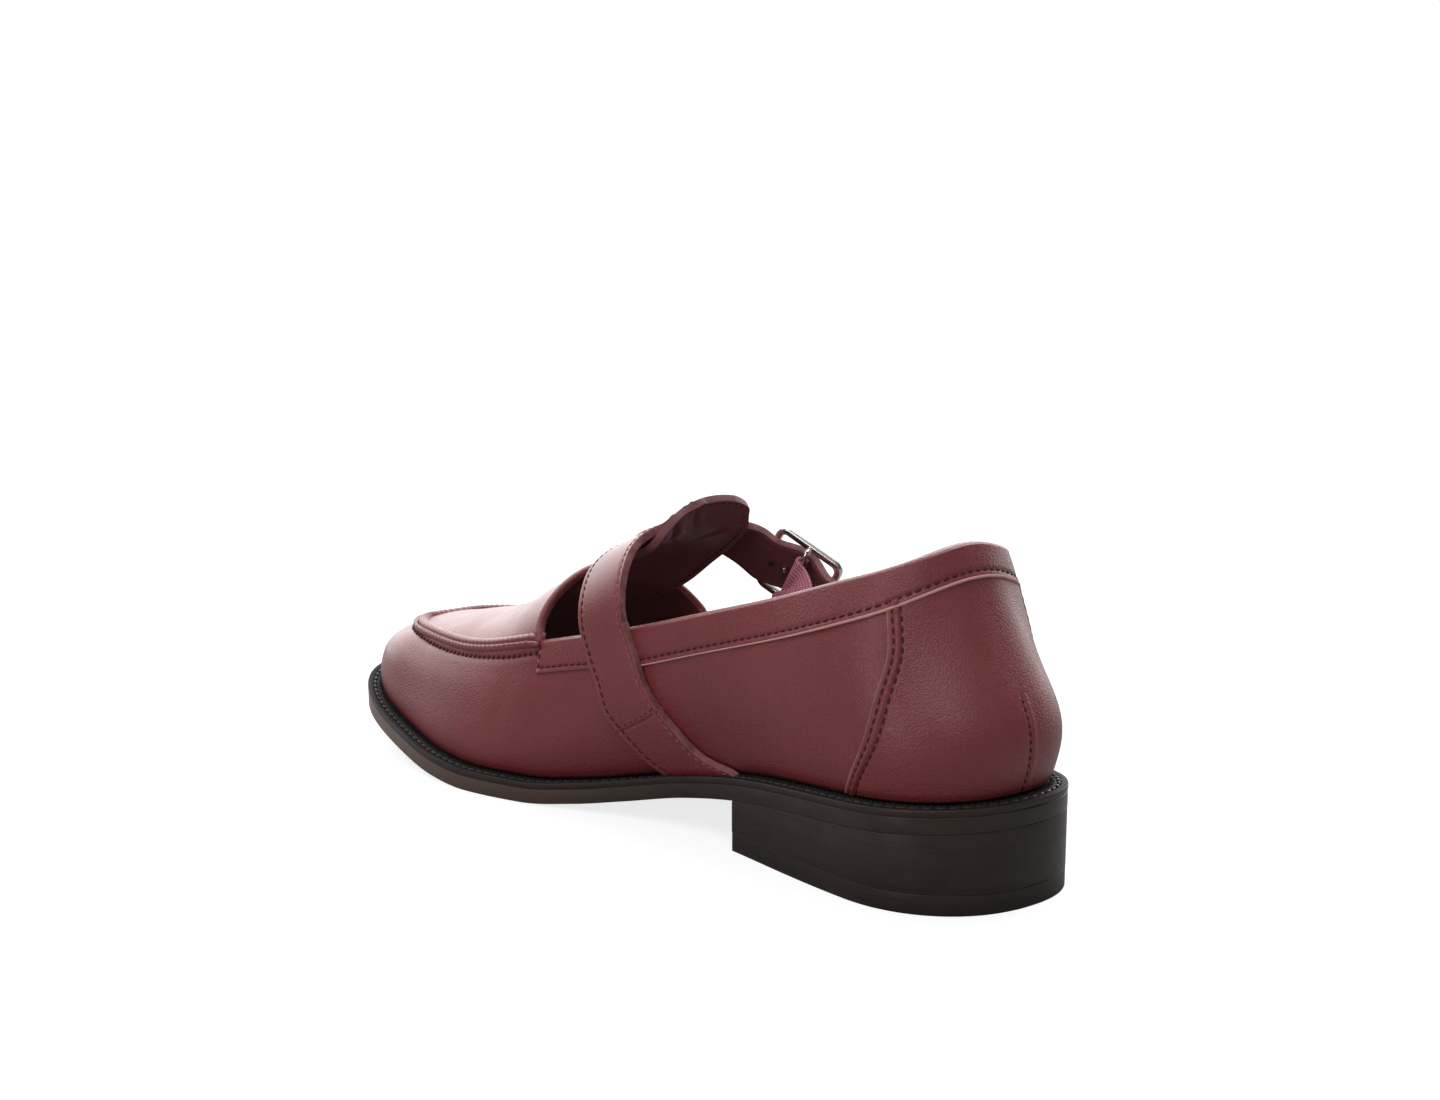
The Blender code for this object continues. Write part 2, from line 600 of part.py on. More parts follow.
def make_roll():
    """A bead along the seam: its foot on the wall, its crown over the seam, its lip inward."""
    top, under = [], []
    path = [(x, 1) for x in np.linspace(150.5, FOOT_TOE, 26)]
    path += [(x, -1) for x in np.linspace(FOOT_TOE, 158.5, 25)[1:]]
    for x, side in path:
        # crowd the sections where the seam turns around the toe
        t = (x - 150.5) / (FOOT_TOE - 150.5)
        x = 150.5 + (FOOT_TOE - 150.5) * (1 - (1 - t) ** 1.7) if side == 1 else \
            158.5 + (FOOT_TOE - 158.5) * (1 - (1 - (x - 158.5) / (FOOT_TOE - 158.5)) ** 1.7)
        out = np.append(inset_edge(x, side, WELT_LEDGE)[1], 0.0)
        if x > FOOT_TOE - 0.01:
            out = np.array([1.0, 0.0, 0.0])
        low, seam = wall(x, side, ROLL_OUT), wall(x, side, 1.0)
        lip = seam - out * ROLL_IN
        lip[2] = max(apron_height(lip[0], lip[1]), seam[2])
        up = out + np.array([0, 0, 1.2])
        up /= np.linalg.norm(up)
        z = np.array([0, 0, 1.0])
        under.append([low + out * 0.6, seam + up * 0.8, lip + z * 0.9])
        top.append([low + out * 1.0 + z * 0.2, seam + up * ROLL_HIGH, lip + z * (ROLL_HIGH - 0.3)])
    return slab("apron_roll", MATS["leather"], [top, under], 60)


def strap_point(girth, above):
    """Centre of the strap at a girth, lifted above its inner face, and its outward normal."""
    girths, _, centres, normals, _, _ = strap_path()
    c, n = (np.array([np.interp(girth, girths, v[:, k]) for k in range(3)])
            for v in (centres, normals))
    n /= np.linalg.norm(n)
    return c + n * above, n


def buckle_frame():
    """Middle of the frame, then its three directions: along the strap, across it and outward."""
    under, n = strap_point(BUCKLE_BAR, 0.0)
    run = strap_point(BUCKLE_BAR + 0.06, 0.0)[0] - strap_point(BUCKLE_BAR - 0.06, 0.0)[0]
    run /= np.linalg.norm(run)
    side = np.cross(n, run)
    side /= np.linalg.norm(side)
    n = np.cross(run, side)
    rise = BAR_DROP - BAR_WIRE / 2 - 2 * BAR_EASE - ELASTIC_THICK
    return under + n * rise, run, side, n


def tube(name, mat, points, radius, cyclic=False, sides=2):
    """A round wire along the points, as a closed mesh."""
    curve = bpy.data.curves.new(name, 'CURVE')
    curve.dimensions = '3D'
    curve.bevel_depth = radius / 1000
    curve.bevel_resolution = sides
    curve.use_fill_caps = True
    line = curve.splines.new('POLY')
    line.points.add(len(points) - 1)
    for point, p in zip(line.points, points):
        point.co = (*place(p), 1)
    line.use_cyclic_u = cyclic
    guide = bpy.data.objects.new(name + "_path", curve)
    SHOE.objects.link(guide)
    bpy.context.view_layer.update()
    mesh = bpy.data.meshes.new_from_object(guide.evaluated_get(
        bpy.context.evaluated_depsgraph_get()))
    bpy.data.objects.remove(guide, do_unlink=True)
    bm = bmesh.new()
    bm.from_mesh(mesh)
    bmesh.ops.remove_doubles(bm, verts=bm.verts, dist=0.00001)
    bpy.data.meshes.remove(mesh)
    return finish(name, bm, mat, 45)


def corner_ring(middle, run, side, long, wide, radius, steps=5):
    """A rectangle with round corners, around a middle point and in the plane of two directions."""
    ring = []
    for a, b, start in ((1, 1, 0), (-1, 1, 90), (-1, -1, 180), (1, -1, 270)):
        for k in range(steps):
            t = math.radians(start + 90 * k / (steps - 1))
            ring.append(middle + run * (a * (long - radius) + radius * math.cos(t))
                        + side * (b * (wide - radius) + radius * math.sin(t)))
    return ring


def make_buckle():
    """A flat rectangular band, joined with the dropped centre bar."""
    middle, run, side, n = buckle_frame()
    long, wide = BUCKLE_LONG / 2, BUCKLE_WIDE / 2
    layers = []
    for up, inset in ((0.5, 0.25), (0.35, 0.0), (-0.35, 0.0), (-0.5, 0.25)):
        outer = corner_ring(middle + n * up * BUCKLE_DEEP, run, side, long - inset, wide - inset,
                            BUCKLE_CORNER)
        inner = corner_ring(middle + n * up * BUCKLE_DEEP, run, side,
                            long - BUCKLE_BAND + inset, wide - BUCKLE_BAND + inset,
                            BUCKLE_CORNER - BUCKLE_BAND * 0.6)
        layers.append((outer, inner))
    bm = bmesh.new()
    loops = [[bm.verts.new(place(p)) for p in ring] for ring in
             [outer for outer, _ in layers] + [inner for _, inner in reversed(layers)]]
    loops.append(loops[0])
    for a, b in zip(loops, loops[1:]):
        for k in range(len(a)):
            m = (k + 1) % len(a)
            bm.faces.new((a[k], a[m], b[m], b[k]))
    frame = finish("buckle_frame", bm, MATS["nickel"], 40)
    reach = wide - BUCKLE_BAND / 2
    bar = tube("bar", MATS["nickel"], [
        middle + side * reach, middle + side * reach - n * (BAR_DROP - 0.5),
        middle + side * (reach - 0.5) - n * BAR_DROP, middle - side * (reach - 0.5) - n * BAR_DROP,
        middle - side * reach - n * (BAR_DROP - 0.5), middle - side * reach], BAR_WIRE / 2)
    to_cutters(bar)
    join = frame.modifiers.new("centre_bar", 'BOOLEAN')
    join.operation, join.solver, join.object = 'UNION', 'EXACT', bar
    return frame


def bar_middle():
    middle, run, side, n = buckle_frame()
    return middle - n * BAR_DROP


def prong_hole():
    """Where the prong comes up through the strap: on the free side of the wrapped centre bar."""
    _, run, _, n = buckle_frame()
    return bar_middle() - run * (BAR_WIRE / 2 + BAR_EASE * 2 + ELASTIC_THICK + PRONG_HOLE + 0.2), n


def make_prong():
    middle, run, side, n = buckle_frame()
    hole, _ = prong_hole()
    tip = middle - run * (BUCKLE_LONG / 2 - 0.4) + n * (BUCKLE_DEEP / 2 + PRONG_WIRE / 2 + GAP)
    above = hole + n * (BAR_DROP + PRONG_WIRE / 2 + 1.7)
    points = [hole + n * 0.2, hole * 0.4 + above * 0.6, above, above * 0.72 + tip * 0.28 + n * 0.4,
              above * 0.35 + tip * 0.65 + n * 0.3, tip]
    return tube("buckle_prong", MATS["nickel"], points, PRONG_WIRE / 2)


def make_elastic(across=6):
    """Rises inside the lateral quarter, wraps the centre bar and ends in a short outer lap."""
    _, run, side, n = buckle_frame()
    bar = bar_middle()
    side = side if side[0] > 0 else -side
    wrap = BAR_WIRE / 2 + BAR_EASE + ELASTIC_THICK / 2
    path, rows = [], []
    shares = [2 * k / across - 1 for k in range(across + 1)]
    for v, clear in ((0.76, 1.0), (0.87, 1.0), (1.0, 1.3), (1.06, 1.0)):
        xs = [ELASTIC_BASE_X + ELASTIC_BASE_HALF * u for u in shares]
        rows.append([wall(x, -1, min(v, 1)) + np.array([0, WALL + clear + ELASTIC_THICK / 2,
                                                        40 * max(v - 1, 0)]) for x in xs])
    path.append((bar + run * 0.5 - n * wrap, side, ELASTIC_BAR_HALF))
    for a in range(-90, 91, 30):
        t = math.radians(a)
        path.append((bar - run * wrap * math.cos(t) + n * wrap * math.sin(t), side,
                     ELASTIC_BAR_HALF))
    path.append((bar + run * 1.2 + n * (wrap - 0.1), side, ELASTIC_BAR_HALF))
    for p, d, half in path:
        d = d / np.linalg.norm(d)
        rows.append([p + d * half * u for u in shares])
    return sheet("elastic", MATS["elastic"], rows, ELASTIC_THICK, offset=0.0)


def to_cutters(ob):
    """Move a helper solid to the cutters' collection, shown as wire and never rendered."""
    for c in list(ob.users_collection):
        c.objects.unlink(ob)
    CUTTERS.objects.link(ob)
    ob.hide_render, ob.display_type = True, 'WIRE'


def pierce_strap(strap):
    hole, n = prong_hole()
    bpy.ops.mesh.primitive_cylinder_add(vertices=16, radius=PRONG_HOLE / 1000, depth=0.014,
                                        location=place(hole + n * 3))
    cutter = bpy.context.active_object
    cutter.name = "prong_hole_cutter"
    cutter.rotation_mode = 'QUATERNION'
    cutter.rotation_quaternion = Vector(n).to_track_quat('Z', 'Y')
    to_cutters(cutter)
    cut = strap.modifiers.new("prong_hole", 'BOOLEAN')
    cut.operation, cut.solver, cut.object = 'DIFFERENCE', 'EXACT', cutter


# ------------------------------------------------------------------ build
clear_scene()
SHOE = bpy.data.collections.new("mary_jane_loafer")
CUTTERS = bpy.data.collections.new("cutters")
bpy.context.scene.collection.children.link(SHOE)
bpy.context.scene.collection.children.link(CUTTERS)
MATS = {
    "leather": material("leather", (0.165, 0.032, 0.040), 0.38),
    "lining": material("lining", (0.085, 0.030, 0.034), 0.60),
    "sole_leather": material("sole_leather", (0.050, 0.028, 0.024), 0.45),
    "welt_black": material("welt_black", (0.012, 0.010, 0.010), 0.50),
    "stacked_heel": material("stacked_heel", (0.022, 0.014, 0.013), 0.30),
    "rubber": material("rubber", (0.014, 0.011, 0.011), 0.45),
    "nickel": material("nickel", (0.80, 0.80, 0.80), 0.18, 1.0),
    "elastic": material("elastic", (0.260, 0.060, 0.100), 0.70),
}
make_outsole()
make_welt()
make_insole()
make_heel()
make_upper()
make_t_bar()
pierce_strap(make_strap())
make_keeper()
make_roll()
make_buckle()
make_prong()
make_elastic()
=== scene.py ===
# %% [markdown]
# # A mary jane loafer with a moccasin toe
# One right shoe in oxblood leather, standing empty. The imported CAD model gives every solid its
# place and size. Here each solid is dressed with the leather, thread, rubber and metal that a
# shoemaker would use. Sizes are in millimetres from the back of the sole until the very last
# step, because a last maker works in millimetres, and one helper turns them into metres.

# %% Load the frame
import math

import bmesh
import bpy
import numpy as np
from mathutils import Matrix, Vector


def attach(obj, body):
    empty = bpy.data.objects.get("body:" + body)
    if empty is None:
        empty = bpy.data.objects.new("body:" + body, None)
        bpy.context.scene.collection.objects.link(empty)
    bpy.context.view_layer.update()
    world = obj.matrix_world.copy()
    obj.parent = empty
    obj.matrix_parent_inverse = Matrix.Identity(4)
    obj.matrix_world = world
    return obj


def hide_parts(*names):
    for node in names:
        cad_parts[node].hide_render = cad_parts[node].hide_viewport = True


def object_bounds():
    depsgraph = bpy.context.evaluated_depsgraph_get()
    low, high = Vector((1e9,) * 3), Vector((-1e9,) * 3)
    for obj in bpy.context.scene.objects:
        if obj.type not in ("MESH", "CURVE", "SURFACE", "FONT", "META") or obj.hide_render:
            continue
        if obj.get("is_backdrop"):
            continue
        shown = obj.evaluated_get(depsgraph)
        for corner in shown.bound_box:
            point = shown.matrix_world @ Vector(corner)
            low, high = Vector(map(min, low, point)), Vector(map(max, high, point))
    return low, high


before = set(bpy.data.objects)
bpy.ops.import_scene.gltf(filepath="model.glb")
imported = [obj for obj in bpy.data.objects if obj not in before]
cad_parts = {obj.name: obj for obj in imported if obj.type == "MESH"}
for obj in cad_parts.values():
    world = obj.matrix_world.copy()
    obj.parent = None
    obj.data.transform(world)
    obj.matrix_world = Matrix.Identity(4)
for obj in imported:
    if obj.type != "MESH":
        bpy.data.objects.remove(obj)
scene = bpy.context.scene
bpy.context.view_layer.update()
print("CAD nodes:", ", ".join(sorted(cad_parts)))

# %% [markdown]
# ## The last as tables
# A shoe is pulled over a last, so its shape is the last's. A last is handed down as sections:
# the outline of the sole, the side view of the sole, and how far the wall stands out over the
# feather line at four levels. Smooth curves through short tables give the same shape at any
# fineness, which is why the surface is kept as functions and not as a mesh.

# %% Sizes of the shoe
SOLE_LENGTH, HEEL_REST_X = 258.0, 38.0
SOLE_EDGE, WELT_THICK, WELT_LEDGE, GAP = 6.0, 1.9, 4.5, 0.3
TOP_LIFT, INSOLE_THICK, THROAT_BOW = 5.0, 2.6, 8.0
BACK_CAP, BACK_POWER, TOE_CAP, TOE_POWER, TOE_SWING = 33.8, 2.32, 39.9, 2.90, 3.2
DEGREES = 57.3           # in a radian

OUTLINE = np.array([   # x, medial and lateral half width
    (0, 29.8, 28.6), (30, 30.2, 29.3), (66, 26.8, 31.1), (100, 24.7, 35.1), (130, 32.0, 41.0),
    (160, 42.2, 45.4), (185, 45.1, 45.0), (210, 41.7, 41.0), (235, 36.0, 34.0),
    (258, 30.3, 28.0)])
SOLE_LINE = np.array([   # x, height of the welt's upper face
    (0, 26.0), (30, 24.0), (66, 21.0), (100, 15.4), (120, 10.9), (136, 7.8), (152, 6.0),
    (172, 6.0), (188, 7.2), (210, 10.6), (235, 15.8), (258, 21.5)])
LEVELS = (0.0, 0.20, 0.45, 0.72, 1.0)
WALL_TOP = np.array([   # x, height of the topline and then of the apron seam
    (4, 83.4), (15, 81.6), (30, 78.0), (60, 68.5), (90, 60.0), (120, 52.5), (148, 45.5),
    (175, 39.5), (200, 37.0), (225, 36.6), (254, 36.4)])
STAND_OUT_ROWS = {   # x, then how far the wall stands out at each level over the feather line
    1: np.array([
        (4, 1.4, -2.8, -10.0, -16.0), (12, 1.7, -1.8, -7.8, -13.0), (30, 2.5, 2.6, 0.0, -4.6),
        (60, 3.0, 5.0, 4.8, 2.6), (90, 4.0, 7.4, 8.8, 8.5), (120, 3.7, 6.5, 7.5, 7.1),
        (150, 2.4, 2.6, 1.0, -1.8), (175, 1.1, -0.5, -3.5, -8.1), (200, 0.4, -1.4, -4.4, -10.5),
        (225, 0.3, -0.7, -3.5, -11.2), (254, 0.5, -0.4, -3.9, -14.0)]),
    -1: np.array([
        (4, 1.4, -2.8, -10.0, -16.0), (12, 1.7, -1.8, -7.8, -13.0), (30, 2.8, 3.0, 0.4, -4.2),
        (60, 2.3, 3.3, 2.1, -0.5), (90, 2.2, 3.0, 2.0, -0.6), (120, 2.1, 2.1, 0.1, -3.1),
        (150, 1.4, 0.6, -2.4, -7.0), (175, 0.8, -0.8, -4.0, -8.8), (200, 0.5, -1.1, -4.1, -10.0),
        (225, 0.3, -0.7, -3.5, -11.0), (254, 0.5, -0.4, -3.9, -14.0)])}
CREST = np.array([   # x, height of the instep's crest, fullness of its arch
    (90, 94.0, 0.50), (113, 82.6, 0.50), (127, 76.2, 0.50), (140, 70.6, 0.55),
    (148, 67.2, 0.62), (156, 63.9, 0.70), (165, 60.0, 0.78), (176, 54.6, 0.85),
    (185, 50.0, 0.90), (197, 45.8, 0.95), (210, 42.8, 1.0), (226, 39.6, 1.0), (242, 37.0, 1.0)])


# %% Two kinds of curve
def spline(xs, ys):
    """Natural cubic through the points, held level beyond its ends."""
    xs, ys = np.asarray(xs, float), np.asarray(ys, float)
    n, h = len(xs), np.diff(xs)
    a, b = np.eye(n), np.zeros((n,) + ys.shape[1:])
    for i in range(1, n - 1):
        a[i, i - 1:i + 2] = h[i - 1], 2 * (h[i - 1] + h[i]), h[i]
        b[i] = 6 * ((ys[i + 1] - ys[i]) / h[i] - (ys[i] - ys[i - 1]) / h[i - 1])
    m = np.linalg.solve(a, b.reshape(n, -1)).reshape(b.shape)

    def value(x):
        x = np.clip(np.asarray(x, float), xs[0], xs[-1])
        i = np.clip(np.searchsorted(xs, x) - 1, 0, n - 2)
        wide = (...,) + (None,) * (ys.ndim - 1)
        t, s, k = (x - xs[i])[wide], (xs[i + 1] - x)[wide], h[i][wide]
        return (m[i] * s ** 3 + m[i + 1] * t ** 3) / (6 * k) + \
            (ys[i] / k - m[i] * k / 6) * s + (ys[i + 1] / k - m[i + 1] * k / 6) * t
    return value


def steady(xs, ys):
    """Cubic that never overshoots its points, so level stretches stay level."""
    xs, ys = np.asarray(xs, float), np.asarray(ys, float)
    h, d = np.diff(xs), np.diff(ys) / np.diff(xs)
    m = np.zeros(len(xs))
    m[0], m[-1] = d[0], d[-1]
    for i in range(1, len(xs) - 1):
        if d[i - 1] * d[i] > 0:
            w1, w2 = 2 * h[i] + h[i - 1], h[i] + 2 * h[i - 1]
            m[i] = (w1 + w2) / (w1 / d[i - 1] + w2 / d[i])

    def value(x):
        x = np.clip(np.asarray(x, float), xs[0], xs[-1])
        i = np.clip(np.searchsorted(xs, x) - 1, 0, len(xs) - 2)
        t = (x - xs[i]) / h[i]
        return ys[i] * (1 + 2 * t) * (1 - t) ** 2 + h[i] * m[i] * t * (1 - t) ** 2 + \
            ys[i + 1] * t * t * (3 - 2 * t) + h[i] * m[i + 1] * t * t * (t - 1)
    return value


def bump(x, middle, width):
    """A soft hill of height 1."""
    return np.exp(-((x - middle) / width) ** 2)


def even(x, start, end):
    """0 before start, 1 past end, straight between."""
    return np.clip((x - start) / (end - start), 0, 1)


def ramp(x, start, end):
    """0 before start, 1 past end, with soft corners."""
    t = even(x, start, end)
    return t * t * (3 - 2 * t)


def unit(v):
    return v / np.linalg.norm(v, axis=-1, keepdims=True)


def lengths(path):
    """How far along a path each of its points is."""
    return np.append(0, np.cumsum(np.linalg.norm(np.diff(path, axis=0), axis=1)))


def between(where, steps, rows):
    """Rows of a table, read between its steps."""
    return np.stack([np.interp(where, steps, column) for column in rows.T], -1)


def crease(a, c, turn, long, wide, bow, back, apart):
    """A fold of height 1 that lies turn degrees from the direction of a and bows as it fades.
    The dip beside it is back deep and apart widths off."""
    co, si = math.cos(math.radians(turn)), math.sin(math.radians(turn))
    along = a * co + c * si
    across = -a * si + c * co - bow * along ** 2
    beside = bump(across, apart * wide, wide)
    return bump(along, 0, long) * (bump(across, 0, wide) - back * beside)


sole_top = steady(*SOLE_LINE.T)
top_edge = spline(*WALL_TOP.T)
half_width = {1: spline(OUTLINE[:, 0], OUTLINE[:, 1]), -1: spline(OUTLINE[:, 0], OUTLINE[:, 2])}
stand_out = {s: [spline(rows[:, 0], rows[:, c]) for c in (1, 2, 3, 4)]
             for s, rows in STAND_OUT_ROWS.items()}
level_share = [spline(LEVELS, [float(k == c) for k in range(5)]) for c in (1, 2, 3, 4)]
crest_height, crest_power = (spline(CREST[:, 0], CREST[:, c]) for c in (1, 2))
print("sole is level between x =", SOLE_LINE[6, 0], "and", SOLE_LINE[7, 0])


# %% The outline of the sole
def outline(x, side):
    """Y of the sole's edge at x, on the medial (1) or lateral (-1) side."""
    heel = even(x, BACK_CAP, 0) ** BACK_POWER
    toe = even(x, SOLE_LENGTH - TOE_CAP, SOLE_LENGTH) ** TOE_POWER
    end = (1 - heel) ** (1 / BACK_POWER) * (1 - toe) ** (1 / TOE_POWER)
    swing = TOE_SWING * even(x, 150, SOLE_LENGTH) ** 2
    return swing + side * half_width[side](x) * end


def edge_points(side):
    """Points and outward normals all along one side of the outline."""
    t = np.linspace(0, 1, 900)
    x = SOLE_LENGTH * (3 * t ** 2 - 2 * t ** 3)
    p = np.column_stack([x, outline(x, side)])
    d = np.gradient(p, axis=0)
    d[0], d[-1] = (0, side), (0, -side)
    n = np.column_stack([-d[:, 1], d[:, 0]]) * side
    return p, unit(n)


EDGE = {side: edge_points(side) for side in (1, -1)}


def inset_edge(x, side, inset):
    """Points and normals at x on the outline moved inward."""
    p, n = EDGE[side]
    q = p - n * inset
    keep = np.concatenate([[True], np.diff(np.maximum.accumulate(q[:, 0])) > 1e-9])
    q, m = q[keep].copy(), n[keep]
    q[0, 1], q[-1, 1] = 0, TOE_SWING
    y, nx, ny = (np.interp(x, q[:, 0], v) for v in (q[:, 1], m[:, 0], m[:, 1]))
    size = np.hypot(nx, ny)
    return np.stack([x, y], -1), np.stack([nx / size, ny / size], -1)


# %% The upper's surface
FOOT_BACK, FOOT_TOE = WELT_LEDGE, SOLE_LENGTH - WELT_LEDGE
SEAT_RADIUS = 25.5       # round the heel the wall leans in toward the middle of the seat


def wall(x, side, v):
    """The upper's outer face at station x, v of the way from the feather line to its top."""
    x, v = np.broadcast_arrays(x, v)
    foot, out = inset_edge(x, side, WELT_LEDGE)
    seat = (1 - ramp(x, 20, 44))[..., None]
    out = out * (1 - seat) + (foot - np.array([BACK_CAP, 0.0])) / SEAT_RADIUS * seat
    low = sole_top(x) + GAP
    reach = sum(share(v) * stand(x) for share, stand in zip(level_share, stand_out[side]))
    reach = reach + (1 - ramp(x, 4, 34)) * 0.9 * bump(v, 0.30, 0.20)
    flat = foot + out * reach[..., None]
    return np.stack([flat[..., 0], flat[..., 1], low + (top_edge(x) - low) * v], -1)


def arch(x, turn, skew=0.0):
    """Over the instep or the apron: turn 0 is the medial edge, 90 the crest, 180 lateral."""
    x, turn = np.broadcast_arrays(x, turn)
    a, b = wall(x, 1, 1.0), wall(x + skew, -1, 1.0)
    c, s = np.cos(np.radians(turn)), np.abs(np.sin(np.radians(turn)))
    middle, half = (a + b) / 2, (a - b) / 2
    rise = crest_height(middle[..., 0]) - middle[..., 2]
    over = middle + half * c[..., None]
    over[..., 2] += rise * s ** (2 * crest_power(middle[..., 0]))
    return over


def skin(x, girth):
    """The whole outer surface: girth -1 to 0 up the medial wall, to 1 over, to 2 down."""
    x, girth = np.broadcast_arrays(x, girth)
    over = arch(x, 180 * np.clip(girth, 0, 1))
    over = np.where((girth < 0)[..., None], wall(x, 1, 1 + girth), over)
    return np.where((girth > 1)[..., None], wall(x, -1, 2 - girth), over)


def slopes(x, girth):
    """How the surface moves per mm of x and per unit of girth, with its outward normal."""
    dx = (skin(x + 2.5, girth) - skin(x - 2.5, girth)) / 5.0
    dg = (skin(x, girth + 0.02) - skin(x, girth - 0.02)) / 0.04
    return dx, dg, unit(np.cross(dg, dx))


# %% A tape measure round the feather line
def tape(side):
    t = np.linspace(0, 1, 1500)
    x = FOOT_BACK + (FOOT_TOE - FOOT_BACK) * (1 - np.cos(math.pi * t)) / 2
    return x, lengths(wall(x, side, 0.0))


TAPE = {side: tape(side) for side in (1, -1)}
TOE_U = TAPE[1][1][-1]               # the toe, measured from the back along the medial side
RING = TOE_U + TAPE[-1][1][-1]       # all the way round


def at(x, side):
    """Distance round the feather line of station x on one side."""
    d = np.interp(x, *TAPE[side])
    return d if side == 1 else RING - d


def station(u):
    """x of a point round the feather line."""
    u = np.mod(u, RING)
    return np.where(u < TOE_U, np.interp(u, TAPE[1][1], TAPE[1][0]),
                    np.interp(RING - u, TAPE[-1][1], TAPE[-1][0]))


def around(u, v):
    """The wall at u mm round the feather line from the back, medial side first."""
    u, v = np.broadcast_arrays(np.mod(u, RING), v)
    x = station(u)
    return np.where((u < TOE_U)[..., None], wall(x, 1, v), wall(x, -1, v))


def wall_frame(u, v):
    """Point, direction along the feather line, direction up the wall and outward normal."""
    du = unit(around(u + 0.8, v) - around(u - 0.8, v))
    dv = unit(around(u, v + 0.01) - around(u, v - 0.01))
    n = unit(np.cross(dv, du))
    return around(u, v), du, unit(np.cross(du, n)), n


def wall_height(u):
    """Length of the wall from the feather line to its top."""
    return np.linalg.norm(around(u, 1.0) - around(u, 0.0), axis=-1)


def on_wall(u, v, lift):
    """Point lift mm off the wall, and the wall's outward normal there."""
    p, _, _, n = wall_frame(u, v)
    return p + n * np.asarray(lift)[..., None], n


print(f"feather line {RING:.0f} mm round, toe at {TOE_U:.0f} mm")

# %% [markdown]
# ## Helpers for making pieces
# Every leather panel starts as a flat grid, as it does on the cutting board, and is then laid
# onto the last: each of its vertices moves to where the surface functions say. A grid keeps
# tidy rows, so seams and creases can follow them, and Solidify gives the panel its thickness.

# %% Placing, laying and finishing
def metres(p):
    """Millimetres from the back of the sole to metres about the heel's rest."""
    return (np.asarray(p) - (HEEL_REST_X, 0, 0)) / 1000


def finish(name, bm, materials, stands_for=(), thick=0.0, inner=0, rim=0,
           offset=-1.0, soft=0.0):
    """Make the piece, let it ride on the shoe's one body and hide the CAD parts it stands for. A
    skin is made thick mm, with other materials inside and on its cut edge, and soft mm rounds
    its sharp edges, as a hammer or an edge iron does."""
    # Blender's sphere operator lists its faces in another order each time, so they are sorted.
    bm.verts.index_update()
    bm.faces.sort(key=lambda face: face.verts[0].index * len(bm.verts) + face.verts[1].index)
    mesh = bpy.data.meshes.new(name)
    bm.to_mesh(mesh)
    bm.free()
    for m in materials:
        mesh.materials.append(m)
    mesh.shade_smooth()
    ob = bpy.data.objects.new(name, mesh)
    scene.collection.objects.link(ob)
    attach(ob, "root")
    if stands_for:
        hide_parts(*stands_for)
    if thick:
        solid = ob.modifiers.new("thickness", 'SOLIDIFY')
        solid.thickness, solid.offset = thick / 1000, offset
        solid.material_offset, solid.material_offset_rim = inner, rim
    if soft:
        bevel = ob.modifiers.new("edges", 'BEVEL')
        bevel.width, bevel.segments, bevel.limit_method = soft / 1000, 3, 'ANGLE'
        bevel.angle_limit = math.radians(38)
    print(f"{name}: {len(mesh.vertices)} vertices")
    return mesh


def laid(columns, rows, shape, size, turn=False, close=False):
    """A grid whose point (s, t) is moved to shape(s, t). size is its length and width in mm,
    turn makes the other side its outer face and close welds edges that meet."""
    bm = bmesh.new()
    bmesh.ops.create_grid(bm, x_segments=columns, y_segments=rows, size=0.5)
    if turn:
        bmesh.ops.reverse_faces(bm, faces=bm.faces)
    uv = bm.loops.layers.uv.new("UVMap")
    near = bm.verts.layers.float.new("edge")
    flat = np.array([v.co for v in bm.verts])[:, :2] + 0.5
    s, t = flat[:, 0], flat[:, 1]
    to_edge = np.minimum(np.minimum(s, 1 - s) * size[0], np.minimum(t, 1 - t) * size[1])
    rub = np.clip(1 - to_edge / 1.5, 0, 1)
    for face in bm.faces:
        for loop in face.loops:
            k = loop.vert.index
            loop[uv].uv = (s[k] * size[0] / 1000, t[k] * size[1] / 1000)
    for vert, p, r in zip(bm.verts, metres(shape(s, t)), rub):
        vert.co = p
        vert[near] = r
    if close:
        bmesh.ops.remove_doubles(bm, verts=bm.verts, dist=2e-6)
    return bm


def swept(path, ups, profile, ring=False):
    """A closed section carried along a path. profile is a loop of (across, up) in mm or a
    function of the share of the way that returns it."""
    path, ups = np.asarray(path), np.asarray(ups)
    if ring:
        run = np.roll(path, -1, 0) - np.roll(path, 1, 0)
        path, ups, run = (np.vstack([v, v[:1]]) for v in (path, ups, run))
    else:
        run = np.gradient(path, axis=0)
    run = unit(run)
    side = unit(np.cross(ups, run))
    up = np.cross(run, side)
    share = np.linspace(0, 1, len(path))
    loops = np.array([profile(f) if callable(profile) else profile for f in share])
    sides = loops.shape[1]
    skinned = path[:, None] + side[:, None] * loops[..., 0:1] + up[:, None] * loops[..., 1:2]
    skinned = np.concatenate([skinned, skinned[:, :1]], axis=1)

    def shape(s, t):
        i = np.rint(s * (len(path) - 1)).astype(int)
        j = np.rint(t * sides).astype(int)
        return skinned[i, j]
    girth = lengths(skinned[len(path) // 2])[-1]
    bm = laid(len(path) - 1, sides, shape, (lengths(path)[-1], girth), turn=True, close=True)
    if not ring:
        bmesh.ops.holes_fill(bm, edges=[e for e in bm.edges if e.is_boundary], sides=0)
    bmesh.ops.recalc_face_normals(bm, faces=bm.faces)
    return bm


def circle(radius, sides):
    a = np.linspace(0, 2 * math.pi, sides, endpoint=False)
    return np.column_stack([np.cos(a) * radius, np.sin(a) * radius])


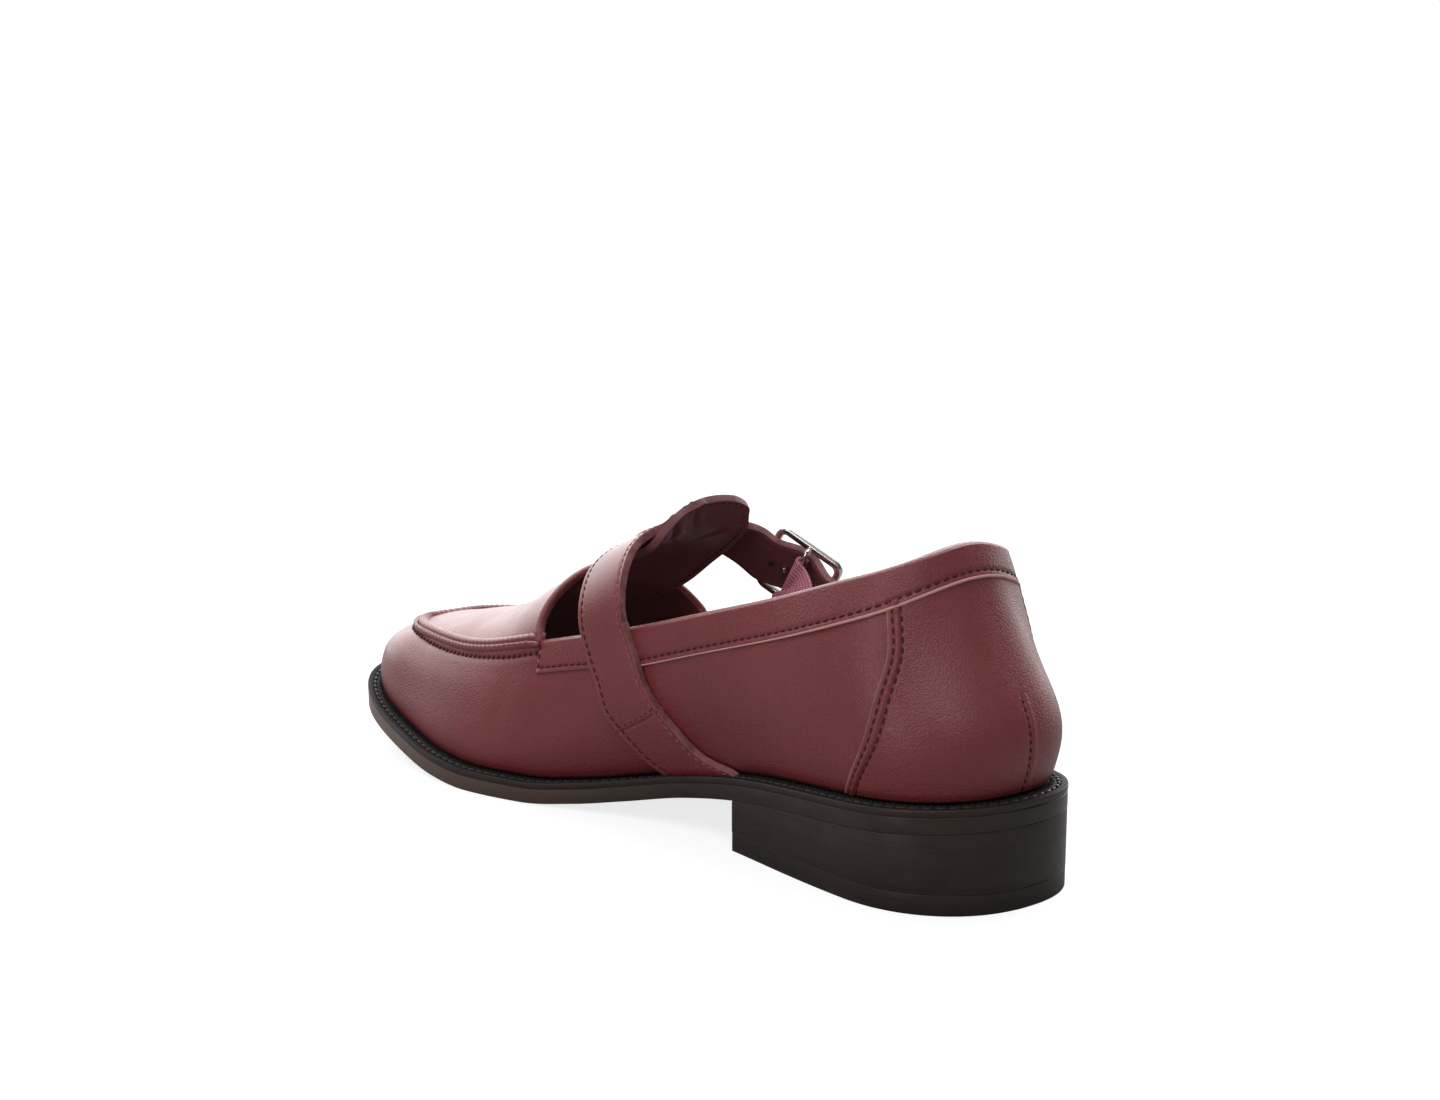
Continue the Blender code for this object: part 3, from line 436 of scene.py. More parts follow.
def add(bm, other):
    """Join another bmesh's faces to this one."""
    spare = bpy.data.meshes.new("spare")
    other.to_mesh(spare)
    other.free()
    bm.from_mesh(spare)
    bpy.data.meshes.remove(spare)


FINE_STITCH = {"pitch": 2.4, "long": 1.6, "wide": 0.5, "high": 0.4}


def stitch_row(path, ups, pitch, long, wide, high, slant=5.0, bm=None):
    """One bead of thread for every stitch along a path, its ends dipping into the leather."""
    bm = bm or bmesh.new()
    path, ups = np.asarray(path), np.asarray(ups)
    steps = lengths(path)
    count = max(int(steps[-1] / pitch), 1)
    marks = (np.arange(count) + 0.5) * steps[-1] / count
    spots, n = between(marks, steps, path), unit(between(marks, steps, ups))
    run = unit(between(marks + 0.3, steps, path) - between(marks - 0.3, steps, path))
    for k, (p, up, along) in enumerate(zip(spots, n, run)):
        across = np.cross(up, along)
        lean = math.radians(slant * (1 + 0.4 * math.sin(k * 2.4)))
        along, across = (along * math.cos(lean) + across * math.sin(lean),
                         across * math.cos(lean) - along * math.sin(lean))
        bead = np.eye(4)
        bead[:3, :3] = np.column_stack([across * wide, up * high, along * long]) / 2000
        bead[:3, 3] = metres(p)
        bmesh.ops.create_uvsphere(bm, u_segments=6, v_segments=5, radius=1,
                                  matrix=Matrix(bead))
    return bm

# %% [markdown]
# ## Effects shared by the finishes
# Leather, thread and rubber share a few effects: the pebbled grain of a hide, the rub along an
# edge, the twist of a thread and the haze of handling. Each is a node group, so that it is built
# once and each material only turns its own dials.

# %% Start a node group
def group(name, inputs, outputs):
    """A new effect: the bench to build it on, its dials and its results."""
    tree = bpy.data.node_groups.new(name, 'ShaderNodeTree')
    for label, value in inputs:
        socket = tree.interface.new_socket(label, in_out='INPUT', socket_type='NodeSocketFloat')
        socket.default_value = value
    for label in outputs:
        tree.interface.new_socket(label, in_out='OUTPUT', socket_type='NodeSocketFloat')
    start, end = tree.nodes.new('NodeGroupInput'), tree.nodes.new('NodeGroupOutput')
    return Bench(tree), start.outputs, end.inputs


class Bench:
    """Short names for adding nodes to a tree."""

    def __init__(self, tree):
        self.tree = tree

    def link(self, a, b):
        self.tree.links.new(a, b)

    def feed(self, socket, value):
        """Link an output to a socket, or set the socket to a plain value."""
        if isinstance(value, bpy.types.NodeSocket):
            self.link(value, socket)
        else:
            socket.default_value = value

    def node(self, kind, settings=None, **inputs):
        n = self.tree.nodes.new(kind)
        for key, value in (settings or {}).items():
            setattr(n, key, value)
        for key, value in inputs.items():
            self.feed(n.inputs[key.replace("_", " ")], value)
        return n

    def place(self):
        return self.node('ShaderNodeTexCoord').outputs['Object']

    def apart(self, vector):
        """The X, Y and Z of a vector, as outputs."""
        return self.node('ShaderNodeSeparateXYZ', Vector=vector).outputs

    def calc(self, kind, *values):
        n = self.node('ShaderNodeMath', {"operation": kind})
        for socket, value in zip(n.inputs, values):
            self.feed(socket, value)
        return n.outputs[0]

    def times(self, a, b):
        return self.calc('MULTIPLY', a, b)

    def plus(self, a, b):
        return self.calc('ADD', a, b)

    def waves(self, length, pitch):
        """A sine over a length in metres, with its pitch in mm."""
        return self.calc('SINE', self.times(length, 2 * math.pi * 1000 / pitch))

    def spread(self, value, low, high, to_low=0.0, to_high=1.0):
        n = self.node('ShaderNodeMapRange', Value=value, From_Min=low, From_Max=high,
                      To_Min=to_low, To_Max=to_high)
        return n.outputs['Result']

    def noise(self, where, scale, detail=3.0, rough=0.5, twist=0.0):
        return self.node('ShaderNodeTexNoise', Vector=where, Scale=scale, Detail=detail,
                         Roughness=rough, Distortion=twist).outputs['Fac']


# %% Hide grain: pebbles, the creases between them and slow changes of colour
b, dial, give = group("Hide grain", [("Pebble size", 0.6), ("Slow change", 30.0)],
                      ["Height", "Shade", "Gloss"])
where = b.place()
fine = b.calc('DIVIDE', 1000.0, dial["Pebble size"])
cells = b.node('ShaderNodeTexVoronoi', {"feature": 'F1', "distance": 'EUCLIDEAN'},
               Vector=where, Scale=fine, Randomness=1.0).outputs['Distance']
veins = b.node('ShaderNodeTexVoronoi', {"feature": 'SMOOTH_F1'}, Vector=where,
               Scale=b.times(fine, 0.45), Smoothness=0.6, Randomness=1.0).outputs['Distance']
pores = b.noise(where, b.times(fine, 1.6), 2.0, 0.6)
pebbles = b.calc('SUBTRACT', 1.0, b.spread(cells, 0.15, 0.75))
height = b.plus(b.times(pebbles, 0.6), b.times(pores, 0.25))
b.link(b.calc('SUBTRACT', height, b.times(veins, 0.35)), give["Height"])
slow = b.noise(where, dial["Slow change"], 4.0, 0.55, 0.3)
b.link(b.spread(slow, 0.32, 0.70), give["Shade"])
smears = b.noise(where, b.times(dial["Slow change"], 2.6), 3.0, 0.6)
b.link(b.spread(smears, 0.30, 0.72), give["Gloss"])

# %% Edge rub: where a panel's border has lost a little of its colour
b, dial, give = group("Edge rub", [("Amount", 0.6), ("Break up", 260.0)], ["Mask"])
where = b.place()
near = b.node('ShaderNodeAttribute', {"attribute_name": "edge"}).outputs['Fac']
patchy = b.spread(b.noise(where, dial["Break up"], 4.0, 0.65), 0.30, 0.62)
worn = b.times(b.calc('POWER', near, 1.6), patchy)
b.link(b.times(worn, dial["Amount"]), give["Mask"])

# %% Handling haze: smears on all faces and specks of dust on the faces that look up
b, dial, give = group("Handling haze", [("Amount", 0.2), ("Smear size", 45.0)], ["Mask"])
where = b.place()
upward = b.apart(b.node('ShaderNodeNewGeometry').outputs['Normal'])['Z']
lying = b.spread(upward, 0.2, 1.0)
smear = b.spread(b.noise(where, dial["Smear size"], 5.0, 0.6, 0.8), 0.45, 0.75)
specks = b.spread(b.noise(where, 1400.0, 1.0, 0.5), 0.68, 0.76)
mixed = b.plus(b.times(smear, 0.7), b.times(specks, b.times(lying, 0.5)))
b.link(b.times(mixed, dial["Amount"]), give["Mask"])

# %% Thread twist: the plies that run round a sewing thread
b, dial, give = group("Thread twist", [("Plies per metre", 900.0)], ["Height", "Shade"])
where = b.place()
ply = b.node('ShaderNodeTexWave', {"wave_type": 'BANDS', "bands_direction": 'DIAGONAL'},
             Vector=where, Scale=dial["Plies per metre"], Distortion=1.5, Detail=1.0)
fluff = b.noise(where, 2600.0, 2.0, 0.6)
b.link(b.plus(b.times(ply.outputs['Fac'], 0.7), b.times(fluff, 0.3)), give["Height"])
b.link(b.spread(fluff, 0.25, 0.75), give["Shade"])
print("node groups:", ", ".join(g.name for g in bpy.data.node_groups))

# %% [markdown]
# ## Finishes
# A finish mixes a base colour towards a lighter and a darker one through the groups' masks and
# bends the light with their heights. Plain numbers, such as the coat, are set on the shader's
# own sockets. The oxblood is a smooth corrected hide with a low sheen: a broad soft highlight
# that the fine grain breaks up.

# %% Make a finish
def blended(b, mask, low, high):
    """A mix of two colours, each an output or three numbers."""
    n = b.node('ShaderNodeMix', {"data_type": 'RGBA'})
    b.link(mask, n.inputs[0])
    for socket, value in ((n.inputs[6], low), (n.inputs[7], high)):
        b.feed(socket, (*value, 1) if isinstance(value, tuple) else value)
    return n.outputs[2]


def finish_of(name, metallic=0.0, coat=0.0, coat_rough=0.3, sheen=0.0, specular=0.5):
    mat = bpy.data.materials.new(name)
    mat.use_nodes = True
    into = mat.node_tree.nodes["Principled BSDF"].inputs
    for label, value in (("Metallic", metallic), ("Coat Weight", coat),
                         ("Coat Roughness", coat_rough), ("Sheen Weight", sheen),
                         ("Specular IOR Level", specular)):
        into[label].default_value = value
    return mat, Bench(mat.node_tree), into


def use(b, name, **dials):
    """Add one of the shared effects and turn its dials."""
    n = b.tree.nodes.new('ShaderNodeGroup')
    n.node_tree = bpy.data.node_groups[name]
    for key, value in dials.items():
        n.inputs[key.replace("_", " ")].default_value = value
    return n.outputs


def dress(b, into, tone, rough, height, depth):
    """Link a finish's colour, its roughness and its relief, which is depth mm deep."""
    raised = b.node('ShaderNodeBump', Strength=1.0, Distance=depth / 1000, Height=height)
    b.link(tone, into["Base Color"])
    b.link(rough, into["Roughness"])
    b.link(raised.outputs['Normal'], into["Normal"])


def leather(name, base, dark, rubbed, rough=(0.36, 0.50), grain=0.035, pebble=0.55, rub=0.5,
            haze=0.12, coat=0.18):
    mat, b, into = finish_of(name, coat=coat, coat_rough=0.34)
    hide = use(b, "Hide grain", Pebble_size=pebble, Slow_change=26.0)
    hand = use(b, "Handling haze", Amount=haze)
    tone = blended(b, hide["Shade"], dark, base)
    tone = blended(b, use(b, "Edge rub", Amount=rub)["Mask"], tone, rubbed)
    tone = blended(b, hand["Mask"], tone, tuple(0.6 * c + 0.12 for c in base))
    gloss = b.spread(hide["Gloss"], 0, 1, *rough)
    dress(b, into, tone, b.plus(gloss, b.times(hand["Mask"], 0.25)), hide["Height"], grain)
    return mat


OXBLOOD = leather("oxblood hide", (0.200, 0.0300, 0.0325), (0.164, 0.0238, 0.0263),
                  (0.33, 0.10, 0.105), rough=(0.31, 0.42), grain=0.105, pebble=0.46, rub=0.35,
                  haze=0.05, coat=0.10)
LINING = leather("lining hide", (0.175, 0.052, 0.057), (0.130, 0.038, 0.042),
                 (0.22, 0.08, 0.08), rough=(0.46, 0.60), grain=0.03, pebble=0.42, rub=0.3,
                 haze=0.04, coat=0.0)
# A trace of its own light stands for the bounces deep inside that a renderer cuts short.
deep = LINING.node_tree.nodes["Principled BSDF"].inputs
deep["Emission Color"].default_value = (1.0, 0.44, 0.44, 1)
deep["Emission Strength"].default_value = 0.005
CUT_EDGE = leather("cut edge", (0.150, 0.034, 0.038), (0.105, 0.022, 0.026),
                   (0.34, 0.15, 0.145), rough=(0.50, 0.66), grain=0.06, pebble=0.30, rub=0.6,
                   haze=0.04, coat=0.0)
PALE_EDGE = leather("pale cut edge", (0.33, 0.12, 0.12), (0.20, 0.060, 0.062),
                    (0.46, 0.22, 0.21), rough=(0.60, 0.75), grain=0.06, pebble=0.30, rub=0.5,
                    coat=0.0)
RAW_EDGE = leather("raw edge", (0.62, 0.33, 0.29), (0.50, 0.23, 0.20), (0.78, 0.50, 0.45),
                   rough=(0.70, 0.85), grain=0.06, pebble=0.35, rub=0.2, coat=0.0)


# %% Thread, elastic and metal
def thread(name, base, light, rough=0.62):
    mat, b, into = finish_of(name, sheen=0.03, specular=0.25)
    twist = use(b, "Thread twist", Plies_per_metre=900.0)
    dress(b, into, blended(b, twist["Shade"], base, light),
          b.spread(twist["Shade"], 0, 1, rough - 0.08, rough + 0.08), twist["Height"], 0.05)
    return mat


RED_THREAD = thread("oxblood thread", (0.036, 0.007, 0.010), (0.075, 0.016, 0.020))
FADED_THREAD = thread("faded thread", (0.20, 0.060, 0.064), (0.32, 0.12, 0.12))
BLACK_THREAD = thread("waxed black thread", (0.010, 0.009, 0.009), (0.030, 0.027, 0.026), 0.48)

RIB = 1.25      # mm from rib to rib of the elastic
ELASTIC, b, into = finish_of("ribbed elastic", sheen=0.25)
cloth = b.apart(b.node('ShaderNodeUVMap').outputs['UV'])
rib = b.waves(cloth['Y'], RIB)
weft = b.waves(cloth['X'], 0.55)
weave_and_groove_shade = b.plus(rib, b.times(weft, 0.35))
patch = b.noise(b.place(), 900.0, 3.0, 0.6)
# Colour follows the ribs: the weave's own stripes, with painted shade darkening the grooves
# between ribs.
tone = blended(b, b.spread(weave_and_groove_shade, -1.2, 1.2), (0.260, 0.040, 0.078), (0.640, 0.175, 0.245))
tone = blended(b, b.spread(patch, 0.35, 0.8), tone, (0.62, 0.22, 0.28))
dress(b, into, tone, b.spread(weave_and_groove_shade, -1.3, 1.3, 0.78, 0.62), weave_and_groove_shade, 0.16)

NICKEL, b, into = finish_of("polished nickel", metallic=1.0)
where = b.place()
swirl = b.noise(where, 420.0, 5.0, 0.7, 1.2)
marks = b.noise(b.node('ShaderNodeMapping', Vector=where, Scale=(3.0, 40.0, 40.0)).outputs[0],
                90.0, 3.0, 0.6)
tone = blended(b, b.spread(swirl, 0.35, 0.75), (0.74, 0.72, 0.69), (0.60, 0.58, 0.55))
dress(b, into, tone, b.spread(marks, 0.3, 0.75, 0.10, 0.24), marks, 0.008)


# %% Sole leather, heel stack, welt and rubber
def sole_finish(name, base, light, rough, layer_mm=0.0, scratch=0.5, coat=0.14, toe=None,
                specular=0.24):
    """A waxed and inked edge. layer_mm is the pitch of the lines between stacked lifts."""
    mat, b, into = finish_of(name, coat=coat, coat_rough=0.22, specular=specular)
    where = b.place()
    hand = use(b, "Handling haze", Amount=0.12, Smear_size=60.0)
    level = b.node('ShaderNodeMapping', Vector=where, Scale=(0.12, 0.12, 2.2)).outputs[0]
    brushed = b.noise(level, 520.0, 4.0, 0.65)
    cloud = b.noise(where, 55.0, 4.0, 0.6)
    tone = blended(b, b.spread(brushed, 0.35, 0.78), base, light)
    tone = blended(b, b.times(b.spread(cloud, 0.45, 0.75), 0.5), tone,
                   tuple(c * 1.7 + 0.004 for c in base))
    tone = blended(b, b.times(hand["Mask"], 0.3), tone, (0.11, 0.095, 0.08))
    # toe: the edge is painted lighter toward the toe end, a painted reflection of the bright
    # floor there
    if toe:
        tone = blended(b, b.spread(b.apart(where)['X'], 0.06, 0.20), tone, toe)
    height = b.times(brushed, scratch)
    if layer_mm:
        line = b.spread(b.waves(b.apart(where)['Z'], layer_mm), 0.93, 1.0)
        tone = blended(b, b.times(line, 0.2), tone, tuple(c * 0.35 for c in base))
        height = b.calc('SUBTRACT', height, b.times(line, 0.25))
    dress(b, into, tone, b.spread(cloud, 0.3, 0.75, *rough), height, 0.05)
    return mat


# Its toe colour is painted light: the floor's reflection on the front of the sole edge.
SOLE_EDGE_FINISH = sole_finish("inked sole edge", (0.021, 0.014, 0.0115), (0.033, 0.023, 0.018),
                               (0.28, 0.42), toe=(0.135, 0.092, 0.068))
WELT_FINISH = sole_finish("black welt", (0.008, 0.007, 0.007), (0.018, 0.015, 0.014),
                          (0.58, 0.74), coat=0.0, specular=0.12)
HEEL_FINISH = sole_finish("stacked heel", (0.021, 0.014, 0.0115), (0.029, 0.020, 0.016),
                          (0.38, 0.48), layer_mm=4.6, scratch=0.22)
RUBBER = sole_finish("black rubber", (0.018, 0.012, 0.010), (0.030, 0.022, 0.018),
                     (0.36, 0.50), coat=0.1)
UNDERSIDE, b, into = finish_of("sanded sole underside")
where = b.place()
nap = b.noise(where, 900.0, 4.0, 0.65)
tan = blended(b, b.spread(b.noise(where, 38.0, 5.0, 0.6, 0.6), 0.3, 0.75),
              (0.052, 0.032, 0.022), (0.095, 0.062, 0.044))
dress(b, into, blended(b, b.spread(nap, 0.3, 0.8), tan, (0.13, 0.09, 0.068)),
      b.spread(nap, 0.25, 0.8, 0.62, 0.80), nap, 0.06)
print("finishes:", ", ".join(sorted(m.name for m in bpy.data.materials if m.use_nodes)))

# %% [markdown]
# ## The bottom of the shoe
# Welt, outsole, heel block and top lift are cut from sheet stock to the same outline, glued in a
# stack and trimmed together, so each is the outline moved inward a little and given a height.
# Plates are a grid laid over the plan and extruded once. The welt is a strip, so it is a section
# carried round the outline, with the groove that its stitches lie in.

# %% Round the outline of the sole
RIM_P, RIM_N = (np.vstack([medial, lateral[-2::-1]])
                for medial, lateral in zip(EDGE[1], EDGE[-1]))
RIM_D = lengths(RIM_P)


def rim(share, inset, drop):
    """Points on the sole's edge, inset from it and drop below the welt's upper face."""
    d = np.asarray(share) * RIM_D[-1]
    q = between(d, RIM_D, RIM_P) - unit(between(d, RIM_D, RIM_N)) * np.asarray(inset)[..., None]
    return np.concatenate([q, (sole_top(q[..., 0]) - drop)[..., None]], -1)


def plate(inset, top, bottom, edge):
    """A plate cut to the sole's outline. top and bottom are heights over stations x."""
    def shape(s, t):
        share = (1 - np.cos(math.pi * s)) / 2
        x = inset + (SOLE_LENGTH - 2 * inset) * share
        a, b = inset_edge(x, 1, inset)[0], inset_edge(x, -1, inset)[0]
        y = a[..., 1] + (b[..., 1] - a[..., 1]) * t
        return np.stack([x, y, bottom(x)], -1)
    return risen(laid(220, 14, shape, (SOLE_LENGTH, 80), close=True), top, edge)


def risen(bm, top, edge):
    """Extrude a laid plate up to its upper face and round its two rims."""
    up = bmesh.ops.extrude_face_region(bm, geom=bm.faces[:])["geom"]
    for v in (g for g in up if isinstance(g, bmesh.types.BMVert)):
        v.co.z = float(top(v.co.x * 1000 + HEEL_REST_X)) / 1000
    bmesh.ops.recalc_face_normals(bm, faces=bm.faces)
    rims = [e for e in bm.edges if len(e.link_faces) == 2 and e.calc_face_angle(0) > 1.0]
    bmesh.ops.bevel(bm, geom=rims, offset=edge / 1000, segments=3, profile=0.5,
                    affect='EDGES', material=-1)
    return bm


# %% Outsole
outsole = plate(0.05, lambda x: sole_top(x) - WELT_THICK - 0.03,
                lambda x: sole_top(x) - SOLE_EDGE, edge=0.18)
outsole = finish("outsole_leather", outsole, [SOLE_EDGE_FINISH, UNDERSIDE],
                 ["outsole"])
for face in outsole.polygons:
    if face.normal.z < -0.8:
        face.material_index = 1

# %% Insole with its sock
finish("sock_lining", plate(WELT_LEDGE + 2.5, lambda x: sole_top(x) + INSOLE_THICK,
                            lambda x: sole_top(x) + GAP, edge=0.9),
       [LINING], ["insole"])

# %% Welt
WELT_SECTION = spline(np.linspace(0, 1, 25), np.array([   # inset, drop
    (0.00, 1.20), (0.00, 0.80), (0.02, 0.45), (0.15, 0.18), (0.45, 0.05), (0.90, 0.00),
    (1.30, 0.02), (1.60, 0.22), (2.00, 0.38), (2.50, 0.38), (2.90, 0.22), (3.20, 0.02),
    (3.70, 0.00), (4.50, 0.00), (6.00, 0.00), (8.00, 0.00), (8.90, 0.05), (9.00, 0.40),
    (9.00, 1.30), (8.90, 1.85), (7.00, 1.90), (4.00, 1.90), (0.70, 1.90), (0.15, 1.75),
    (0.00, 1.20)]))


def welt_shape(s, t):
    section = WELT_SECTION(t)
    return rim(s, section[..., 0], section[..., 1])


WELT_GIRTH, WELT_SIDE = 22.0, (0.12, 0.93)    # round the section, and where its trimmed side ends
welt = laid(620, 48, welt_shape, (RIM_D[-1], WELT_GIRTH), turn=True, close=True)
welt = finish("welt_strip", welt, [WELT_FINISH, HEEL_FINISH], ["welt"])
for face in welt.polygons:
    up = welt.uv_layers[0].data[face.loop_start].uv[1] * 1000
    if not WELT_SIDE[0] < up / WELT_GIRTH < WELT_SIDE[1]:
        face.material_index = 1

# %% Welt stitches
def on_welt(inset, drop, **bead):
    t = np.linspace(0, 1, 1400)
    return stitch_row(rim(t, np.full(1400, inset), np.full(1400, drop)),
                      np.tile((0.0, 0.0, 1.0), (1400, 1)), **bead)


finish("welt_stitches", on_welt(2.25, 0.28, pitch=3.1, long=2.7, wide=1.15, high=1.0, slant=9),
       [BLACK_THREAD])
finish("welt_wheeling", on_welt(3.85, 0.0, pitch=1.55, long=0.95, wide=1.5, high=0.7, slant=4),
       [WELT_FINISH])

# %% Heel block and top lift
BREAST = {1: 79.0, -1: 75.0}


def heel_plan(inset, height):
    def shape(s, t):
        k = 1 - np.cos(math.pi / 2 * s)
        a, b = (inset_edge(inset + (BREAST[side] - inset * 1.5) * k, side, inset)[0]
                for side in (1, -1))
        p = a + (b - a) * t[..., None]
        x = p[..., 0] - 3.0 * 4 * t * (1 - t) * k ** 3
        return np.stack([x, p[..., 1], height(x)], -1)
    return shape


def flat_at(z):
    return lambda x: np.full(np.shape(x), float(z))


for name, inset, low, top, edge, look, slot, node in (
        ("heel_stack", 0.08, TOP_LIFT + 0.04, lambda x: sole_top(x) - SOLE_EDGE - 0.04, 0.14,
         HEEL_FINISH, "stacked_heel", "heel_block"),
        ("heel_lift", 0.12, 0, flat_at(TOP_LIFT), 0.2, RUBBER, "rubber", "top_lift")):
    block = laid(110, 18, heel_plan(inset, flat_at(low)), (79, 60), close=True)
    finish(name, risen(block, top, edge), [look], [node])

# %% [markdown]
# ## The upper's wall
# On the real shoe the quarters and the vamp are cut flat, closed at the back seam and pulled
# over the last, so the leather is tight low down and softer near its top. One grid runs all the
# way round. Its relief holds what lasting and sewing leave behind: the puff of leather under the
# moccasin seam, the puckers that its second row of stitches gathers, a few soft creases placed
# one by one, and the tuck at the feather line.

# %% Lines on the wall
# Over x, as shares of the wall's height: the apron's lower stitches and the collar's lower
# edge. Over that share: x of the counter's front edge.
APRON_ROW = spline([148, 151, 162, 172, 184, 195, 205, 217, 228, 240, 254],
                   [.915, .915, .905, .912, .915, .915, .915, .925, .940, .940, .938])
COLLAR_LOW = spline([4, 12, 19, 28, 36, 65, 72, 87, 103, 111, 131, 139, 149, 158],
                    [.862, .852, .840, .818, .800, .772, .768, .760, .752, .750, .768, .772,
                     .768, .768])
COUNTER_X = spline([0, .02, .13, .25, .40, .51, .61, .69, .81, .9],
                   [36.8, 36.3, 32.6, 28.9, 26.7, 25.5, 24.5, 24.8, 26.2, 27.4])
PUCKER = 2.6      # mm from stitch to stitch of the moccasin seam
FRONT = {1: at(149.5, 1), -1: at(156.5, -1)}      # where that seam begins
CREASES = (   # u, v, degrees from the feather line, long, wide, deep
    (at(112, 1), 0.33, 62, 13.0, 3.2, 0.38), (at(121, 1), 0.42, 70, 11.0, 2.8, 0.30),
    (at(102, 1), 0.24, 55, 12.0, 3.6, -0.26), (at(72, 1), 0.50, 84, 16.0, 4.5, 0.22),
    (at(163, 1), 0.45, 96, 12.0, 4.0, 0.20),
    (at(110, -1), 0.35, 116, 13.0, 3.4, 0.34), (at(122, -1), 0.45, 108, 11.0, 3.0, 0.28),
    (at(74, -1), 0.45, 95, 16.0, 4.5, 0.20), (at(170, -1), 0.5, 84, 12.0, 4.0, 0.18))


def away(u, middle):
    """Signed distance round the feather line, the short way."""
    return np.mod(u - middle + RING / 2, RING) - RING / 2


def creases(u, v, height):
    out = np.zeros(np.shape(u))
    for cu, cv, turn, long, wide, deep in CREASES:
        out -= deep * crease(away(u, cu), (v - cv) * height, turn, long, wide,
                             bow=0.010, back=0.55, apart=1.9)
    return out


def tucked(rise):
    """The pull toward the feather line over the lowest mm of a layer."""
    return -0.45 * (1 - ramp(rise, 0, 2.2))


def wall_relief(u, v):
    """Height in mm that sewing and lasting add to the wall."""
    x, height = station(u), wall_height(u)
    front = ramp(np.minimum(away(u, FRONT[1]), -away(u, FRONT[-1])), -1.5, 3.0) \
        * (np.abs(away(u, TOE_U)) < TOE_U - FRONT[1] + 40)
    row = (v - APRON_ROW(x)) * height
    above = (1 - APRON_ROW(x)) * height
    puff = 0.85 * np.sin(math.pi * np.clip(row / above, 0, 1)) ** 0.8 * (row > 0)
    beat = np.cos(2 * math.pi * u / PUCKER)
    gather = -0.42 * bump(row, 0, 0.75) * (0.75 + 0.25 * beat) + \
        0.13 * beat * bump(row, 0.9, 1.3) * np.sign(row + 0.9) + 0.10 * bump(row, -2.2, 1.4)
    drift = 0.10 * np.sin(u / 17.0 + 3 * v) + 0.07 * np.sin(u / 9.1 - 5 * v + 1.3)
    behind = at(COUNTER_X(v), 1) - np.minimum(u, RING - u)
    under = -0.65 * ramp(behind, 0.5, 4.0) - \
        0.55 * ramp((v - COLLAR_LOW(x)) * height, 0.8, 4.0) * (1 - front)
    return creases(u, v, height) + front * (puff + gather) + \
        drift * np.sin(math.pi * np.clip(v, 0, 1)) + tucked(v * height) + under


# %% Wall
def wall_shape(s, t):
    u, v = s * RING, 1 - (1 - t) ** 1.25
    return on_wall(u, v, wall_relief(u, v))[0]


finish("quarters", laid(800, 52, wall_shape, (RING, 48), turn=True, close=True),
       [OXBLOOD, LINING], ["upper"], thick=1.9, inner=1)

# %% [markdown]
# ## Overlays on the wall
# The counter is a second layer over the heel with two rows of stitches at its front edge. The
# collar is a folded band round the opening with a pale raw edge below it. Each overlay is its
# own thin piece, as it is on the shoe, because a real step in the leather catches the light
# along its edge in a way that a drawn line doesn't.

# %% Counter
COUNTER_STAND, COUNTER_BASE = 0.75, 0.15     # at its front edge, and further back
COUNTER_ROWS = (1.15, 3.35)                  # of stitches, in from that edge


def counter_shape(s, t):
    guess = station(np.abs(1 - 2 * s) * at(25.0, 1))
    v = 0.004 + t * (COLLAR_LOW(guess) + 0.02)
    x = COUNTER_X(v)
    u = at(x, 1) * (1 - 2 * s)
    inside = (1 - np.abs(1 - 2 * s)) * at(x, 1)
    lip = 1 - np.clip(1 - inside / 0.7, 0, 1) ** 2
    rows = sum(bump(inside, row, 0.45) for row in COUNTER_ROWS)
    z = v * wall_height(u)
    swell = (0.34 + 0.05 * np.cos(2 * math.pi * z / 2.35)) * bump(inside, 2.25, 0.9)
    seam = -0.40 * bump(u, 0, 0.42) * (1 - ramp(v, 0.38, 0.43)) + \
        0.16 * bump(u, -1.1, 0.7) * (1 - ramp(v, 0.36, 0.44))
    drift = 0.08 * np.sin(u / 11.0 + 4 * v)
    layer = COUNTER_BASE + (COUNTER_STAND - COUNTER_BASE) * np.exp(-inside / 9.0)
    stand = layer * (0.45 + 0.55 * lip) - 0.30 * rows + swell + seam + drift
    return on_wall(u, v, stand + tucked(z))[0]


finish("counter", laid(300, 90, counter_shape, (110, 50)), [OXBLOOD, CUT_EDGE],
       thick=0.8, rim=1)


def on_counter(inside, v, side, lift):
    return on_wall((at(COUNTER_X(v), 1) - inside) * side, v, lift)


counter_rows = bmesh.new()
v = np.linspace(0.012, 0.835, 160)
for side in (1, -1):
    for inside, lift in zip(COUNTER_ROWS, (0.50, 0.37)):
        stitch_row(*on_counter(inside, v, side, lift), pitch=2.35, long=1.7,
                   wide=0.62, high=0.5, bm=counter_rows)
finish("counter_stitches", counter_rows, [RED_THREAD])

edge_rows = bmesh.new()
for side in (1, -1):
    add(edge_rows, swept(*on_counter(-0.02, v, side, 0.30), circle(0.30, 8)))
finish("counter_raw_edge", edge_rows, [PALE_EDGE])

# %% Back seam
v = np.linspace(0.012, 0.40, 90)
back_seam = stitch_row(*on_wall(np.zeros(90), v, COUNTER_BASE - 0.18), pitch=1.9, long=1.25,
                       wide=0.6, high=0.4, slant=24)
finish("back_seam_stitches", back_seam, [RED_THREAD])

# %% Collar band
COLLAR_ENDS = (at(149.7, 1), -RING + at(157.0, -1))   # medial front, lateral front
COLLAR_ROLL, COLLAR_INSIDE = 1.32, 8.0    # radius over the top edge, depth of the inner side
COLLAR_ROW = 1.5                          # of stitches, above the lower edge


